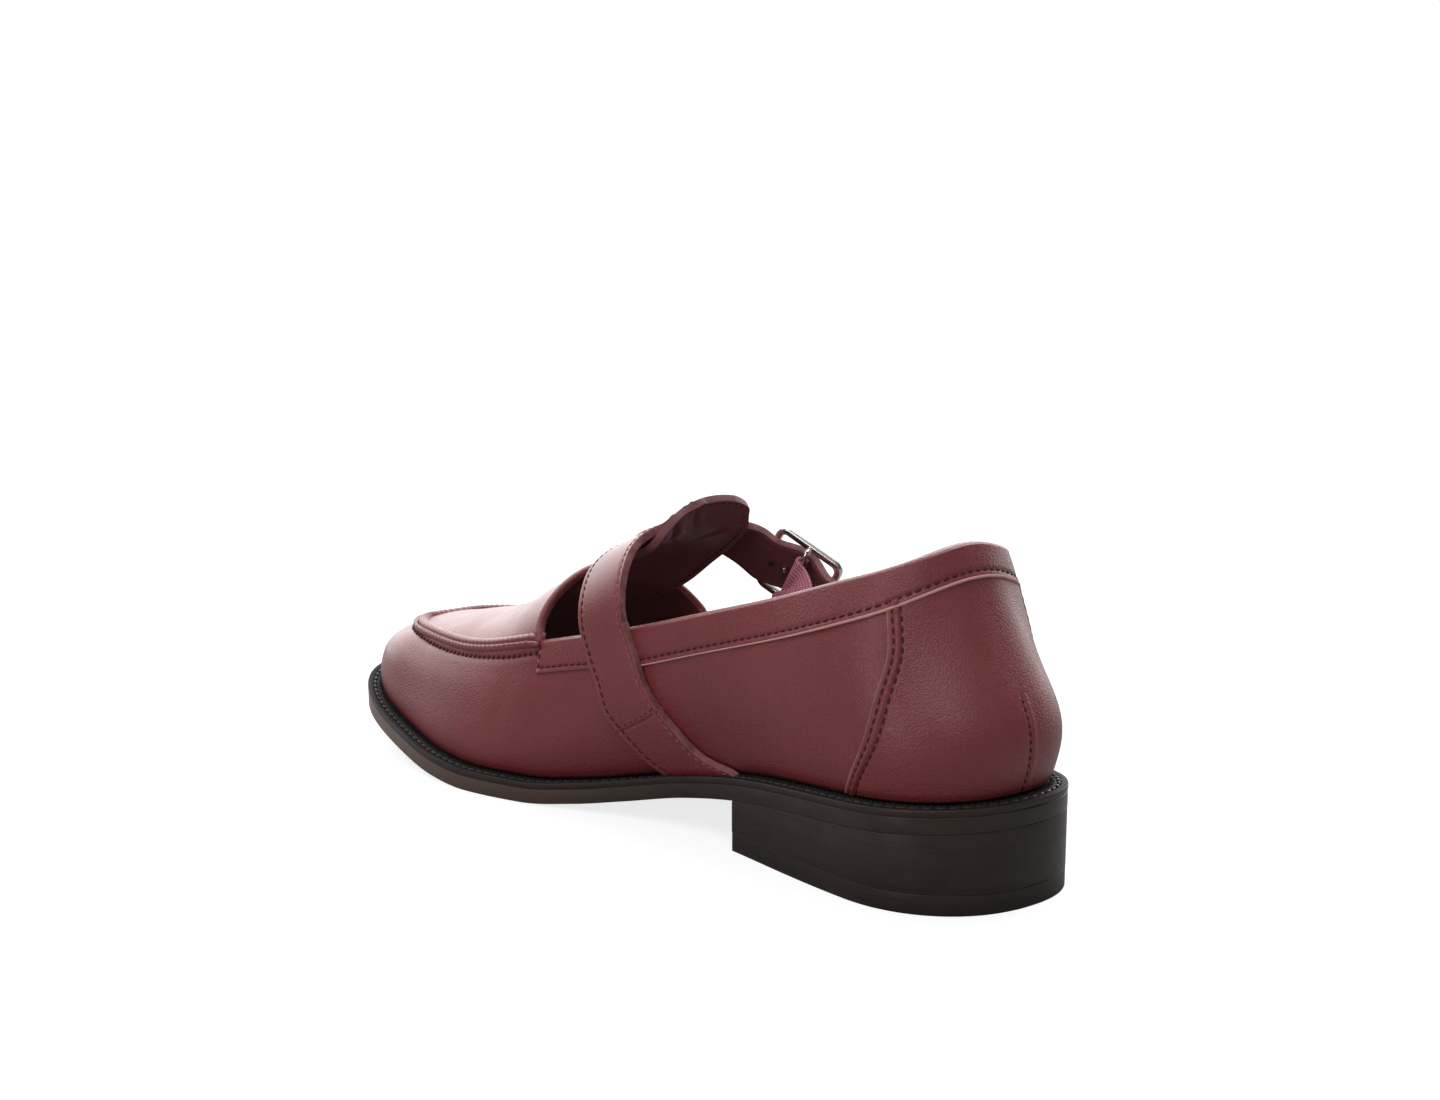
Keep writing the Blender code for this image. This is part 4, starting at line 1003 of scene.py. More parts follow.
def collar_shape(s, t):
    u = COLLAR_ENDS[0] + (COLLAR_ENDS[1] - COLLAR_ENDS[0]) * s
    low = COLLAR_LOW(station(u))
    outer, fold = 0.60, 0.80      # where the outer face ends, and the roll over the top
    face = even(t, 0, outer)
    v = low + (0.995 - low) * face
    ends = np.minimum(s, 1 - s) * (COLLAR_ENDS[0] - COLLAR_ENDS[1])
    lip = 0.35 + 0.65 * np.sqrt(np.clip(ends, 0, 1))
    plump = 0.55 - 0.25 * face + 0.14 * np.sin(math.pi * np.clip(face * 0.97 + 0.03, 0, 1)) ** 0.7
    row = (v - low) * wall_height(u)
    p = on_wall(u, v, plump * lip - 0.26 * bump(row, COLLAR_ROW, 0.5))[0]
    top = around(u, 1.0)
    _, _, up, m = wall_frame(u, 0.985)
    angle = math.pi * even(t, outer, fold)
    over = top - m - up * 0.95 + m * (np.cos(angle) * COLLAR_ROLL)[..., None] + \
        up * (np.sin(angle) * COLLAR_ROLL * 0.8)[..., None]
    q = over - up * (even(t, fold, 1) * COLLAR_INSIDE)[..., None]
    blend = ramp(t, outer - 0.05, outer + 0.03)[..., None]
    return p * (1 - blend) + q * blend


finish("collar", laid(520, 40, collar_shape, (COLLAR_ENDS[0] - COLLAR_ENDS[1], 24)),
       [OXBLOOD, CUT_EDGE], thick=0.55)

# %% Raw edge under the collar, and its stitches
u = np.linspace(at(121.0, 1), at(121.0, -1) - RING, 700)
thick_back = 0.26 + 0.20 * ramp(70 - station(u), 0, 45)


def line_on_wall(u, rise, lift):
    """A line rise mm above the collar's lower edge."""
    return on_wall(u, COLLAR_LOW(station(u)) + rise / wall_height(u), lift)




def raw_section(f):
    return circle(np.interp(f, np.linspace(0, 1, 700), thick_back), 10) * (0.85, 1.25)


finish("collar_raw_edge", swept(*line_on_wall(u, -0.15, 0.42), raw_section), [RAW_EDGE])
u = np.linspace(COLLAR_ENDS[0] - 1.2, COLLAR_ENDS[1] + 1.2, 900)
collar_rows = stitch_row(*line_on_wall(u, COLLAR_ROW, 0.50), pitch=2.5, long=1.75, wide=0.62,
                         high=0.5)
for end, inward in ((COLLAR_ENDS[0], -1.1), (COLLAR_ENDS[1], 1.1)):
    stitch_row(*on_wall(np.full(30, end + inward), np.linspace(0.79, 0.975, 30), 0.62),
               pitch=2.3, long=1.6, wide=0.5, high=0.45, bm=collar_rows)
finish("collar_stitches", collar_rows, [RED_THREAD])

# %% [markdown]
# ## The moccasin apron
# The apron is a separate plug of leather. Its border and the wall's border are sewn together
# standing up, which makes a double ridge with a dark line between, and the wall's leather is
# gathered to the plug's shorter edge. The ridge is one section carried along the seam, and its
# height beats with the stitches that pull it down.

# %% Apron
APRON_BACK, APRON_TOE = 148.0, 252.2
APRON_CREASES = (   # x, turn, direction, long, wide, deep
    (176, 70, 80, 22, 4.2, 0.42), (186, 112, 100, 20, 4.0, 0.38), (168, 104, 84, 18, 3.6, 0.30),
    (197, 74, 92, 18, 4.5, 0.26), (212, 98, 95, 16, 5.0, 0.22))


def apron_shape(s, t):
    x = APRON_BACK + (APRON_TOE - APRON_BACK) * (0.5 * s + 0.5 * np.sin(math.pi / 2 * s))
    turn = 180 * t
    ahead = even(x, APRON_BACK + 36, APRON_BACK) ** 2 * THROAT_BOW
    shift = ahead * np.sin(np.radians(turn)) ** 0.7
    p = arch(x + shift, turn, skew=8 * even(x, APRON_TOE, APRON_BACK))
    half = np.linalg.norm(wall(x, 1, 1.0) - wall(x, -1, 1.0), axis=-1) / 2
    border = np.minimum(t, 1 - t) * math.pi * half
    lift = -0.75 * (1 - ramp(np.minimum(border, (APRON_TOE - x) * 0.8 + 3), 2.2, 6.5))
    for cx, ct, turned, long, wide, deep in APRON_CREASES:
        lift = lift - deep * crease(x + shift - cx, (turn - ct) / DEGREES * half, turned, long,
                                    wide, bow=0.008, back=0.6, apart=1.8)
    lift = lift + 0.08 * np.sin(x / 6.3 + turn / 21) * ramp(border, 2, 8)
    p[..., 2] += lift
    return p


finish("apron", laid(150, 80, apron_shape, (104, 75), turn=True), [OXBLOOD, LINING],
       thick=1.6, inner=1)

# %% Moccasin ridge
SEAM_ENDS = (at(150.0, 1) - 0.5, at(158.0, -1) + 0.5)
RIDGE = np.array([   # across the seam toward the apron, height
    (-2.5, -0.9), (-2.65, 0.05), (-2.3, 0.85), (-1.65, 1.42), (-0.85, 1.70), (-0.2, 1.62),
    (0.20, 1.20), (0.45, 0.30), (0.75, 0.35), (0.95, 1.22), (1.30, 1.42), (1.70, 1.30),
    (2.05, 0.85), (2.20, 0.15), (2.2, -0.9), (0.0, -1.2)])
u = np.linspace(SEAM_ENDS[0], SEAM_ENDS[1], 560)
p = around(u, 1.0)
tilt = unit(wall_frame(u, 0.97)[3] * 0.65 + np.array([0, 0, 0.55]))    # the seam stands up


def ridge_section(f):
    where = SEAM_ENDS[0] + (SEAM_ENDS[1] - SEAM_ENDS[0]) * f
    beat = math.cos(2 * math.pi * where / PUCKER)
    ends = min(f, 1 - f) * (SEAM_ENDS[1] - SEAM_ENDS[0])
    low = 0.55 + 0.45 * min(ends / 4.0, 1.0)
    loop = RIDGE.copy()
    loop[:, 1] *= low * (1 + 0.035 * beat)
    loop[2:5, 0] -= 0.10 * beat
    loop[9:13, 1] += 0.05 * beat
    return loop


finish("moccasin_ridge", swept(p, tilt, ridge_section), [OXBLOOD], ["apron_roll"])

# %% Moccasin stitches
seam_rows = bmesh.new()
side = unit(np.cross(tilt, unit(np.gradient(p, axis=0))))
stitch_row(p + side * 0.64 + tilt * 0.50, tilt, pitch=PUCKER, long=1.8, wide=0.5, high=0.4,
           bm=seam_rows)
v = APRON_ROW(station(u))
stitch_row(*on_wall(u, v, -0.10), pitch=PUCKER, long=1.75, wide=1.35, high=0.95, slant=32,
           bm=seam_rows)
u, v = u[3:], v[3:]     # the second row starts between the first one's stitches
stitch_row(*on_wall(u, v + 1.0 / wall_height(u), 0.12), pitch=PUCKER, long=1.2, wide=0.75,
           high=0.7, slant=-26, bm=seam_rows)
finish("moccasin_stitches", seam_rows, [RED_THREAD])

# %% Throat edge
def throat(t):
    """Point, direction toward the toe and outward normal along the apron's back edge."""
    p, q = apron_shape(np.zeros(len(t)), t), apron_shape(np.full(len(t), 0.03), t)
    run, on = unit(np.gradient(p, axis=0)), unit(q - p)
    n = unit(np.cross(run, on))
    n *= np.where(n[:, 2:] < 0, -1.0, 1.0)
    return p, on, n


t = np.linspace(0.012, 0.988, 240)
p, on, n = throat(t)
FOLD = np.array([(-1.35, -0.9), (-1.55, -0.2), (-1.35, 0.5), (-0.8, 0.85), (-0.1, 0.92),
                 (0.6, 0.80), (1.1, 0.50), (1.35, 0.05), (1.2, -0.6), (0.0, -1.3)])
finish("throat_fold", swept(p + on, n, FOLD), [OXBLOOD])
finish("throat_stitches", stitch_row(p + on * 2.7 + n * 0.05, n, **FINE_STITCH),
       [RED_THREAD])

# %% [markdown]
# ## T-bar, keeper and strap
# The T-bar is a tongue of two leathers that widens into a head, where the bend over the strap
# leaves wrinkles in the lining. The strap is a long band: it starts caught over the welt on the
# medial side, lies on the wall, crosses the instep under the keeper and hangs through the
# buckle. Its centre line is a table, and the band is that line given a width.

# %% T-bar
T_BAR = np.array([   # x, medial and lateral edge as turns round the instep, depth
    (114.0, 82, 102, -3.4), (114.8, 73, 109, -3.2), (116.5, 65, 114, -2.4),
    (119.5, 59, 119, -1.0), (123.0, 57, 122, 0.4), (128.0, 58, 125, 1.0),
    (134.0, 60, 128, 1.0), (142.0, 64, 131, 1.0), (150.0, 67, 133, 1.6),
    (158.0, 68, 132, 2.7), (170.0, 68, 128, 2.9)])
t_bar_line = spline(T_BAR[:, 0], T_BAR[:, 1:])
HEAD_RADIUS, KEEPER_RADIUS = 30, 32       # of the instep under each
HEAD_WRINKLES = (   # x, turn, direction, long, wide, deep
    (121.0, 68, 38, 7.0, 0.9, 0.55), (124.0, 72, 30, 8.0, 0.8, 0.50),
    (127.0, 66, 42, 6.0, 0.8, 0.45), (119.0, 80, 28, 6.0, 0.9, 0.35),
    (130.0, 74, 24, 7.0, 1.0, 0.35), (124.0, 106, -35, 7.0, 1.1, 0.30))


def t_bar_point(s, t, up=0.0):
    """Point up mm off the T-bar's outer face, and its normal."""
    x = T_BAR[0, 0] + (T_BAR[-1, 0] - T_BAR[0, 0]) * s ** 1.5
    a, c, depth = np.moveaxis(t_bar_line(x), -1, 0)
    girth = (a + (c - a) * t) / 180
    n = slopes(x, girth)[2]
    lift = np.zeros(np.shape(x))
    for wx, wt, turned, long, wide, deep in HEAD_WRINKLES:
        lift += deep * crease(x - wx, (girth * 180 - wt) / DEGREES * HEAD_RADIUS, turned, long,
                              wide, bow=0.02, back=0.7, apart=2)
    inner = np.clip(np.minimum(t, 1 - t) / 0.16, 0, 1)     # the rim stays straight
    return skin(x, girth) - n * (depth - lift * inner - up)[..., None], n


finish("t_bar", laid(110, 60, lambda s, t: t_bar_point(s, t)[0], (56, 34), turn=True),
       [OXBLOOD, LINING, CUT_EDGE], ["tongue"], thick=2.0, inner=1, rim=1, soft=0.5)

# %% Stitches round the T-bar, outside and in
side = np.linspace(0.93, 0.0, 90)
s = np.maximum(np.concatenate([side, np.zeros(30), np.linspace(0.0, 0.93, 90)]), 0.055)
t = np.clip(np.concatenate([np.zeros(90), np.linspace(0.02, 0.98, 30), np.ones(90)]),
            0.055, 0.945)
head_rows = bmesh.new()
for depth, out in ((0.05, 1.0), (-2.05, -1.0)):
    p, n = t_bar_point(s, t, up=depth)
    stitch_row(p, n * out, **FINE_STITCH, bm=head_rows)
finish("t_bar_stitches", head_rows, [RED_THREAD])

# %% Keeper
KEEPER = np.array([   # x, lift of its inner face, half width
    (118.5, 1.7, 6.6), (120.5, 1.2, 7.2), (122.3, 0.7, 7.5), (124.0, 2.0, 7.5),
    (126.0, 1.9, 7.5), (140.5, 1.6, 7.5), (143.0, 0.8, 7.5), (145.6, -0.5, 7.5),
    (150.0, -1.1, 7.5), (152.0, -1.3, 7.0)])
KEEPER_TURN, KEEPER_THICK = 92, 1.0      # its middle, as a turn round the instep
keeper_line = spline(KEEPER[:, 0], KEEPER[:, 1:])


def keeper_point(s, t):
    """Point of the keeper's outer face, and its normal."""
    x = KEEPER[0, 0] + (KEEPER[-1, 0] - KEEPER[0, 0]) * s
    lift, half = np.moveaxis(keeper_line(x), -1, 0)
    turn = KEEPER_TURN + half * (2 * t - 1) / KEEPER_RADIUS * DEGREES
    n = slopes(x, turn / 180)[2]
    return arch(x, turn) + n * (lift + KEEPER_THICK)[..., None], n


finish("keeper_band", laid(90, 24, lambda s, t: keeper_point(s, t)[0], (36, 15), turn=True),
       [OXBLOOD, LINING], ["keeper"], thick=KEEPER_THICK, inner=1, soft=0.35)
keeper_rows = bmesh.new()
s = np.linspace(0.02, 0.98, 80)
for t in (0.07, 0.93):
    stitch_row(*keeper_point(s, np.full(80, t)), pitch=2.2, long=1.5, wide=0.45, high=0.35,
               bm=keeper_rows)
finish("keeper_stitches", keeper_rows, [RED_THREAD])

# %% The strap's path
STRAP = np.array([   # girth, x, half width, lift of its inner face
    (-0.97, 94.5, 13.0, 0.4), (-0.90, 98.4, 11.0, 0.4), (-0.80, 102.6, 9.4, 0.4),
    (-0.61, 108.6, 8.8, 0.4), (-0.41, 114.4, 8.7, 0.4), (-0.22, 119.0, 8.7, 0.4),
    (0.00, 123.2, 8.7, 0.5), (0.09, 125.2, 8.7, 0.6), (0.18, 128.0, 8.7, 0.4),
    (0.28, 131.6, 8.7, 0.3), (0.40, 133.6, 8.7, -0.1), (0.50, 133.8, 8.7, -0.2),
    (0.60, 132.8, 8.7, 0.2), (0.70, 130.9, 8.5, 0.4), (0.78, 127.6, 8.3, 0.2),
    (0.86, 122.9, 8.2, 1.0), (0.93, 118.0, 8.2, 3.1), (1.00, 113.2, 8.2, 4.6),
    (1.08, 108.4, 8.2, 4.8), (1.18, 103.0, 8.2, 3.8), (1.28, 98.2, 7.2, 2.0),
    (1.335, 95.6, 4.2, 0.9)])
STRAP_THICK, STRAP_HALF, STRAP_HANG, STRAP_TUCK = 2.2, 8.6, (0.30, -0.86, 0.41), 1.5
STRAP_LEAVES = (0.62, 0.77)      # girths between which it stops lying on the instep
# BUCKLE_BAR is the girth that the bar crosses. The rest are the buckle's sizes.
BUCKLE_BAR, BUCKLE_LONG, BUCKLE_WIDE, BUCKLE_CORNER = 0.935, 22.0, 24.0, 3.4
BUCKLE_BAND, BUCKLE_DEEP, BAR_WIRE, BAR_DROP, BAR_EASE = 2.0, 2.2, 1.6, 2.7, 0.25


def strap_path():
    """Girth, x, centre, outward normal, half width and lift at even steps of girth."""
    line = spline(STRAP[:, 0], STRAP[:, 1:])
    girths = np.linspace(STRAP[0, 0], STRAP[-1, 0], STEPS)
    xs, halves, lifts = line(girths).T
    normals = slopes(xs, girths)[2]
    centres = skin(xs, girths) + normals * lifts[:, None]
    hang = (even(girths, STRAP_LEAVES[0], 0.76) * even(girths, 1.28, 1.08))[:, None]
    normals = normals * (1 - hang) + np.array(STRAP_HANG) * hang
    free = even(girths, *STRAP_LEAVES)[:, None]
    for values in (centres, normals):
        for _ in range(8):
            soft = values.copy()
            soft[1:-1] = (values[:-2] + 2 * values[1:-1] + values[2:]) / 4
            values += (soft - values) * free
    normals = unit(normals)
    steps = lengths(centres)
    off = (steps - np.interp(BUCKLE_BAR, girths, steps)) / (BUCKLE_LONG / 2 - BUCKLE_BAND / 2)
    tuck = STRAP_TUCK * np.cos(math.pi * off) * np.clip(1 - (off / 2) ** 4, 0, 1) ** 2
    return girths, xs, centres + normals * tuck[:, None], normals, halves, lifts


STRAP_EDGES = {   # on the medial wall: share of the wall's height, then x of the strap's edge
    "rear": spline([.00, .03, .06, .11, .19, .31, .41, .54, .68, .82, 1],
                   [80.6, 82.3, 86, 90.9, 95, 98.9, 102.2, 106.1, 110.1, 113, 115.8]),
    "front": spline([.00, .03, .14, .26, .38, .50, .62, .75, .88, 1],
                    [107.6, 108.8, 113.0, 116.8, 120.6, 124.2, 127.2, 130.2, 132.6, 134.3])}
FOOT_BLEND = (-0.50, -0.22)      # girths between which the edges' own lines take over
STEPS, ACROSS, FINE = 56, 12, 420     # along the path, across it and along the finished net


def strap_foot(girths, end_rear, end_front, t, lift):
    """The low part of the strap: each edge runs down its own line to the welt."""
    share = even(girths, STRAP[0, 0], FOOT_BLEND[1])
    low = 0.004
    rear, front = low + (end_rear - low) * share ** 1.15, low + (end_front - low) * share
    x = STRAP_EDGES["rear"](rear) * (1 - t) + STRAP_EDGES["front"](front) * t
    g = rear * (1 - t) + front * t - 1
    return skin(x, g) + slopes(x, np.maximum(g, -0.97))[2] * lift[:, None]


def on_skin(xs, girths, want):
    """The steps of x and girth that move a point of the skin by a vector along it."""
    dx, dg, _ = slopes(xs, girths)
    a, c, d = (dx * dx).sum(1), (dx * dg).sum(1), (dg * dg).sum(1)
    e, f = (want * dx).sum(1), (want * dg).sum(1)
    return (e * d - f * c) / (a * d - c * c), (a * f - c * e) / (a * d - c * c)


def strap_net(extra):
    """Points across the strap at every step of its path, extra above its inner face."""
    girths, xs, centres, normals, halves, lifts = strap_path()
    along = unit(np.cross(normals, np.gradient(centres, axis=0)))
    n = unit(np.cross(np.gradient(centres, axis=0), along))
    flat = even(girths, *STRAP_LEAVES)[:, None]
    foot = 1 - ramp(girths, *FOOT_BLEND)[:, None]
    ends = [1 + np.interp(FOOT_BLEND[1], girths,
                          girths + on_skin(xs, girths, along * reach[:, None])[1])
            for reach in (-halves, halves)]
    columns = []
    for k in range(ACROSS + 1):
        reach = (halves * (2 * k / ACROSS - 1))[:, None]
        step_x, step_g = on_skin(xs, girths, along * reach)
        qx, qg = xs + step_x, np.maximum(girths + step_g, -0.988)
        lying = skin(qx, qg) + slopes(qx, qg)[2] * (lifts + extra)[:, None]
        lying = lying * (1 - foot) + strap_foot(girths, *ends, k / ACROSS,
                                                lifts + extra) * foot
        columns.append((centres + along * reach + n * extra) * flat + lying * (1 - flat))
    return np.stack(columns, axis=1)


strap_in, strap_out = (spline(np.linspace(0, 1, STEPS), strap_net(e))(np.linspace(0, 1, FINE))
                       for e in (0.0, STRAP_THICK))
STRAP_LONG = lengths(strap_out[:, ACROSS // 2])[-1]
print(f"strap {STRAP_LONG:.0f} mm long")


def strap_at(s, t, up=STRAP_THICK):
    """Point on the strap at share s of its length and t of its width, with its normal."""
    i, j = np.clip(s, 0, 1) * (FINE - 1), np.clip(t, 0, 1) * ACROSS
    i0, j0 = np.clip(i.astype(int), 0, FINE - 2), np.clip(j.astype(int), 0, ACROSS - 1)
    fi, fj = (i - i0)[..., None], (j - j0)[..., None]

    def read(net):
        return (net[i0, j0] * (1 - fi) + net[i0 + 1, j0] * fi) * (1 - fj) + \
            (net[i0, j0 + 1] * (1 - fi) + net[i0 + 1, j0 + 1] * fi) * fj
    low, high = read(strap_in), read(strap_out)
    n = unit(high - low)
    return low + n * (np.zeros(np.shape(s)) + up)[..., None], n


# %% Strap
SEAM_AT, SEAM_SLANT = 0.171, 0.016     # where the short foot piece is joined to the strap


def strap_shape(s, t):
    w = 2 * t - 1
    to_side = (1 - np.abs(w)) * STRAP_HALF
    crown = 0.16 * (1 - w ** 2)
    groove = -0.20 * bump(to_side, 1.35, 0.42)
    past = (s - SEAM_AT + SEAM_SLANT * w) * STRAP_LONG
    joint = -0.28 * bump(past, 0, 0.35) + 0.12 * bump(past, 1.2, 0.9)
    ease = 0.10 * np.sin(s * 31) * (1 - w ** 2)
    return strap_at(s, t, STRAP_THICK - 0.10 + crown + groove + joint + ease)[0]


finish("cross_strap", laid(330, 44, strap_shape, (STRAP_LONG, 17.4)),
       [OXBLOOD, LINING, CUT_EDGE], ["strap"], thick=2.1, inner=1, rim=2, soft=0.45)

# %% Strap stitches
s = np.linspace(0.006, 0.99, 500)
rear_row, strap_rows = (
    stitch_row(*strap_at(s, np.full(500, t), STRAP_THICK - 0.12), pitch=2.3, long=1.65,
               wide=0.5, high=0.42) for t in (0.078, 0.922))
finish("strap_rear_stitches", rear_row, [FADED_THREAD])
t = np.linspace(0.05, 0.95, 40)
stitch_row(*strap_at(SEAM_AT - SEAM_SLANT * (2 * t - 1) + 0.011, t, STRAP_THICK - 0.02),
           pitch=2.2, long=1.5, wide=0.45, high=0.4, bm=strap_rows)
finish("strap_stitches", strap_rows, [RED_THREAD])

# %% Holes in the strap, as black discs of painted shade
hole_shade_discs = bmesh.new()
# Each hole is a black disc on the outer and inner faces: painted shade, with no opening cut.
for s in (0.655, 0.700, 0.790, 0.835, 0.880):
    for up, sink in ((STRAP_THICK + 0.10, 1), (0.0, -1)):
        p, n = (v[0] for v in strap_at(np.array([s]), np.array([0.5]), up))
        turned = Vector(n * sink).to_track_quat('Z', 'Y').to_matrix().to_4x4()
        turned.translation = metres(p + n * sink * 0.02)
        bmesh.ops.create_cone(hole_shade_discs, cap_ends=True, segments=20, radius1=0.00085,
                              radius2=0.0007, depth=0.0003, matrix=turned)
finish("strap_hole_shade_discs", hole_shade_discs, [BLACK_THREAD])

# %% [markdown]
# ## Buckle and elastic
# The buckle is a flat rectangular frame with a dropped centre bar. A piece of ribbed elastic
# rises from inside the lateral quarter and wraps the bar, the strap passes over it and the prong
# comes up through a hole. Frame, bar and prong are sections carried along smooth paths, which is
# how a wire buckle is bent.

# %% Where the buckle sits
def strap_spot(girth):
    """Centre and outward normal of the strap at a girth."""
    girths, _, centres, normals, _, _ = strap_path()
    return between(girth, girths, centres), unit(between(girth, girths, normals))


under, n = strap_spot(BUCKLE_BAR)
RUN = unit(strap_spot(BUCKLE_BAR + 0.06)[0] - strap_spot(BUCKLE_BAR - 0.06)[0])
SIDE = unit(np.cross(n, RUN))
OUT = np.cross(RUN, SIDE)
MIDDLE = under + OUT * (BAR_DROP - BAR_WIRE / 2 - 2 * BAR_EASE - 0.8)
BAR = MIDDLE - OUT * BAR_DROP
print("buckle middle, mm:", np.round(MIDDLE, 1))


# %% Frame, bar and prong
def rounded(long, wide, radius, steps):
    """A rectangle with round corners, from its half sides, as a loop of points."""
    return np.array([(a * (long - radius) + radius * math.cos(t),
                      c * (wide - radius) + radius * math.sin(t))
                     for a, c, start in ((1, 1, 0), (-1, 1, 90), (-1, -1, 180), (1, -1, 270))
                     for t in np.radians(start + 90 * np.arange(steps) / (steps - 1))])


half_band = BUCKLE_BAND / 2
reach = BUCKLE_WIDE / 2 - half_band
ring = MIDDLE + rounded(BUCKLE_LONG / 2 - half_band, reach, BUCKLE_CORNER - half_band, 12) \
    @ np.array([RUN, SIDE])
metal = swept(ring, np.tile(OUT, (len(ring), 1)),
              rounded(half_band, BUCKLE_DEEP / 2, 0.5, 4), ring=True)


def smooth_path(points, count):
    points = np.array(points)
    steps = lengths(points)
    return spline(steps, points)(np.linspace(0, steps[-1], count))


bar = [MIDDLE + SIDE * reach, MIDDLE + SIDE * (reach - 0.1) - OUT * 1.5,
       BAR + SIDE * (reach - 1.3) + OUT * 0.1, BAR + SIDE * 4, BAR - SIDE * 4,
       BAR - SIDE * (reach - 1.3) + OUT * 0.1, MIDDLE - SIDE * (reach - 0.1) - OUT * 1.5,
       MIDDLE - SIDE * reach]
bar = smooth_path(bar, 70)
add(metal, swept(bar, np.tile(RUN, (70, 1)), circle(BAR_WIRE / 2, 14)))
finish("buckle_frame_and_bar", metal, [NICKEL], ["buckle_frame"])

hole = BAR - RUN * (BAR_WIRE / 2 + BAR_EASE * 2 + 0.8 + 1.7)
tip = MIDDLE - RUN * (BUCKLE_LONG / 2 - 0.4) + OUT * (BUCKLE_DEEP / 2 + 1.05)
above = hole + OUT * (BAR_DROP + 2.45)
prong = smooth_path([hole + OUT * 0.2, hole * 0.4 + above * 0.6, above,
                     above * 0.72 + tip * 0.28 + OUT * 0.4, above * 0.35 + tip * 0.65 + OUT * 0.3,
                     tip, tip - RUN * 0.9 - OUT * 0.15], 60)
finish("buckle_tongue", swept(prong, np.tile(OUT, (60, 1)) + RUN * 0.01,
                              lambda f: circle(0.78 - 0.2 * f ** 3, 12)),
       [NICKEL], ["buckle_prong"])

# %% Elastic
ELASTIC_X, ELASTIC_HALF, ELASTIC_BAR_HALF, ELASTIC_THICK = 113.5, 8.5, 7.2, 0.8
ELASTIC_WIDE = 15.0
wide = np.linspace(-1, 1, 9)
rows = []
for v, clear in ((0.76, 1.0), (0.87, 1.0), (1.0, 1.3), (1.06, 1.0)):
    rows.append(wall(ELASTIC_X + ELASTIC_HALF * wide, -1, min(v, 1)) +
                np.array([0, 1.9 + clear + ELASTIC_THICK / 2, 40 * max(v - 1, 0)]))
across = SIDE if SIDE[0] > 0 else -SIDE
wrap = BAR_WIRE / 2 + BAR_EASE + ELASTIC_THICK / 2
spots = [BAR + RUN * 0.5 - OUT * wrap]
spots += [BAR - RUN * wrap * math.cos(a) + OUT * wrap * math.sin(a)
          for a in np.radians(range(-90, 91, 30))]
spots.append(BAR + RUN * 1.2 + OUT * (wrap - 0.1))
rows += [p + across * (ELASTIC_BAR_HALF * wide)[:, None] for p in spots]
rows = np.array(rows)
steps = lengths(rows[:, 4])
cols = spline(np.linspace(0, 1, 9), np.moveaxis(rows, 1, 0))(np.linspace(0, 1, 49))
web = spline(steps, np.moveaxis(cols, 1, 0))(np.linspace(0, steps[-1], 121))


def elastic_shape(s, t):
    i, j = np.rint(s * 120).astype(int), np.rint(t * 48).astype(int)
    n = unit(np.cross(np.gradient(web, axis=0), np.gradient(web, axis=1)))
    cord = 0.10 * np.sin(t * ELASTIC_WIDE / RIB * 2 * math.pi)
    return web[i, j] + n[i, j] * cord[..., None]


finish("elastic_webbing", laid(120, 48, elastic_shape, (steps[-1], ELASTIC_WIDE)),
       [ELASTIC], ["elastic"], thick=ELASTIC_THICK, offset=0.0)

# %% [markdown]
# ## Light, floor and camera
# The shoe stands on a pale sweep under big soft boxes. The world gives the even fill and
# the bright sweep behind the toe, which the apron mirrors. The box above the camera is the key
# light. A low box on the medial side draws the upright glint on the heel, and one over the
# heel's medial corner draws the soft highlight on the counter. The box on the toe side and the
# one overhead lift the wall at the toe and the apron, and a weak one fills in behind the heel.

# %% Floor
bm = bmesh.new()
bmesh.ops.create_circle(bm, cap_ends=True, segments=96, radius=14.0)
floor_mesh = bpy.data.meshes.new("floor")
bm.to_mesh(floor_mesh)
bm.free()
floor = bpy.data.objects.new("floor", floor_mesh)
scene.collection.objects.link(floor)
paper, b, into = finish_of("pale paper", specular=0.2)
fibre = b.noise(b.place(), 60.0, 3.0, 0.6)
b.link(blended(b, fibre, (0.28, 0.28, 0.28), (0.30, 0.30, 0.30)), into["Base Color"])
into["Roughness"].default_value = 0.9
into["Emission Color"].default_value = (1, 1, 1, 1)
b.link(b.times(b.node('ShaderNodeLightPath').outputs['Is Camera Ray'], 0.80),
       into["Emission Strength"])
floor_mesh.materials.append(paper)
floor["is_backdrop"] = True

# %% Studio
# The sweep behind the toe is bright, so low-angled leather shines, and the room behind the
# camera is dark, so the sides keep their depth of colour.
world = bpy.data.worlds.new("studio")
world.use_nodes = True
scene.world = world
scene.view_settings.view_transform = 'Standard'
b = Bench(world.node_tree)
for n in list(world.node_tree.nodes):
    world.node_tree.nodes.remove(n)
facing = b.node('ShaderNodeTexCoord').outputs['Generated']
toward = b.node('ShaderNodeVectorMath', {"operation": 'DOT_PRODUCT'})
for socket, value in zip(toward.inputs, (facing, Vector((0.74, -0.64, 0.20)).normalized())):
    b.feed(socket, value)
behind = b.spread(toward.outputs['Value'], 0.35, 0.90)
above = b.spread(b.apart(facing)['Z'], 0.45, 0.95)
fill = b.plus(b.times(behind, 3.1), b.times(above, 0.28))
lit = b.node('ShaderNodeBackground', Color=(1.0, 0.995, 0.99, 1),
             Strength=b.plus(fill, 0.10)).outputs[0]
seen = b.node('ShaderNodeBackground', Color=(1, 1, 1, 1), Strength=1.05).outputs[0]
pick = b.node('ShaderNodeMixShader')
camera_ray = b.node('ShaderNodeLightPath').outputs['Is Camera Ray']
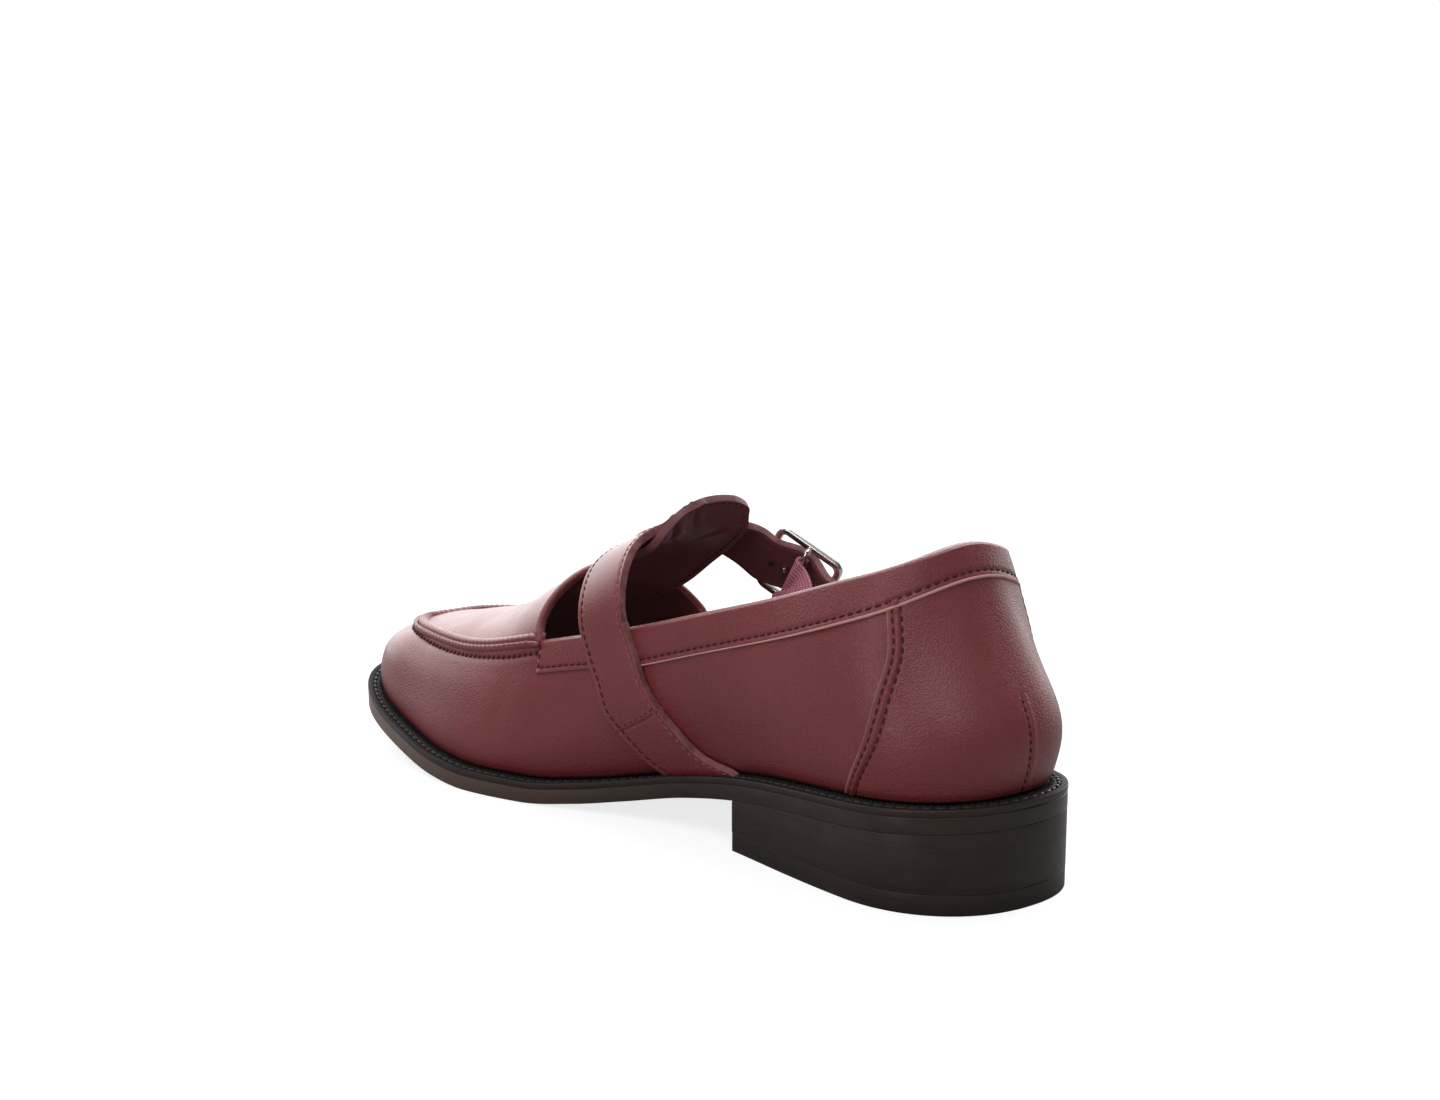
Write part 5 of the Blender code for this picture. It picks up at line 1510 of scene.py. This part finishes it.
for socket, value in zip(pick.inputs, (camera_ray, lit, seen)):
    b.link(value, socket)
b.link(pick.outputs[0], b.node('ShaderNodeOutputWorld').inputs[0])


def soft_box(name, place, aim, wide, tall, power):
    lamp = bpy.data.lights.new(name, 'AREA')
    lamp.shape, lamp.size, lamp.size_y, lamp.energy = 'RECTANGLE', wide, tall, power
    lamp.color = (0.985, 0.955, 1.0)
    ob = bpy.data.objects.new(name, lamp)
    ob.location = place
    ob.rotation_euler = (Vector(aim) - Vector(place)).to_track_quat('-Z', 'Y').to_euler()
    ob.visible_camera = False
    scene.collection.objects.link(ob)


soft_box("box_above_camera", (-0.40, 1.00, 1.45), (0.07, 0.0, 0.04), 1.3, 1.0, 10.4)
soft_box("box_medial", (0.06, 1.30, 0.30), (-0.02, 0.0, 0.05), 0.24, 0.56, 2.8)
soft_box("box_behind_heel", (-1.06, 0.65, 0.91), (-0.02, 0.0, 0.05), 0.45, 0.7, 2.2)
soft_box("box_toe_side", (1.00, 0.95, 1.10), (0.10, 0.0, 0.04), 0.55, 0.8, 3.2)
soft_box("box_overhead", (0.62, -0.62, 1.28), (0.12, 0.0, 0.05), 1.2, 1.2, 8.5)
soft_box("box_heel_side", (-1.35, -0.35, 0.80), (0.08, 0.0, 0.05), 0.6, 0.8, 1.1)

# %% Camera
# Long side 36 mm on the sensor. The lens stands low, behind the medial side of the heel.
lens = bpy.data.cameras.new("camera")
lens.lens, lens.sensor_width = 50.18, 36.0
lens.shift_x, lens.shift_y = -0.0219, 0.0838
lens.clip_start, lens.clip_end = 0.01, 100
camera = bpy.data.objects.new("camera", lens)
forward = Vector((0.736, -0.6436, -0.2098)).normalized()
camera.location = (-0.3313, 0.3439, 0.1521)
camera.rotation_mode = 'QUATERNION'
camera.rotation_quaternion = forward.to_track_quat('-Z', 'Y')
scene.collection.objects.link(camera)
scene.camera = camera

# %% Size of the finished shoe
low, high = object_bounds()
print("visual box, mm:", [[round(v * 1000, 1) for v in c] for c in (low, high)])
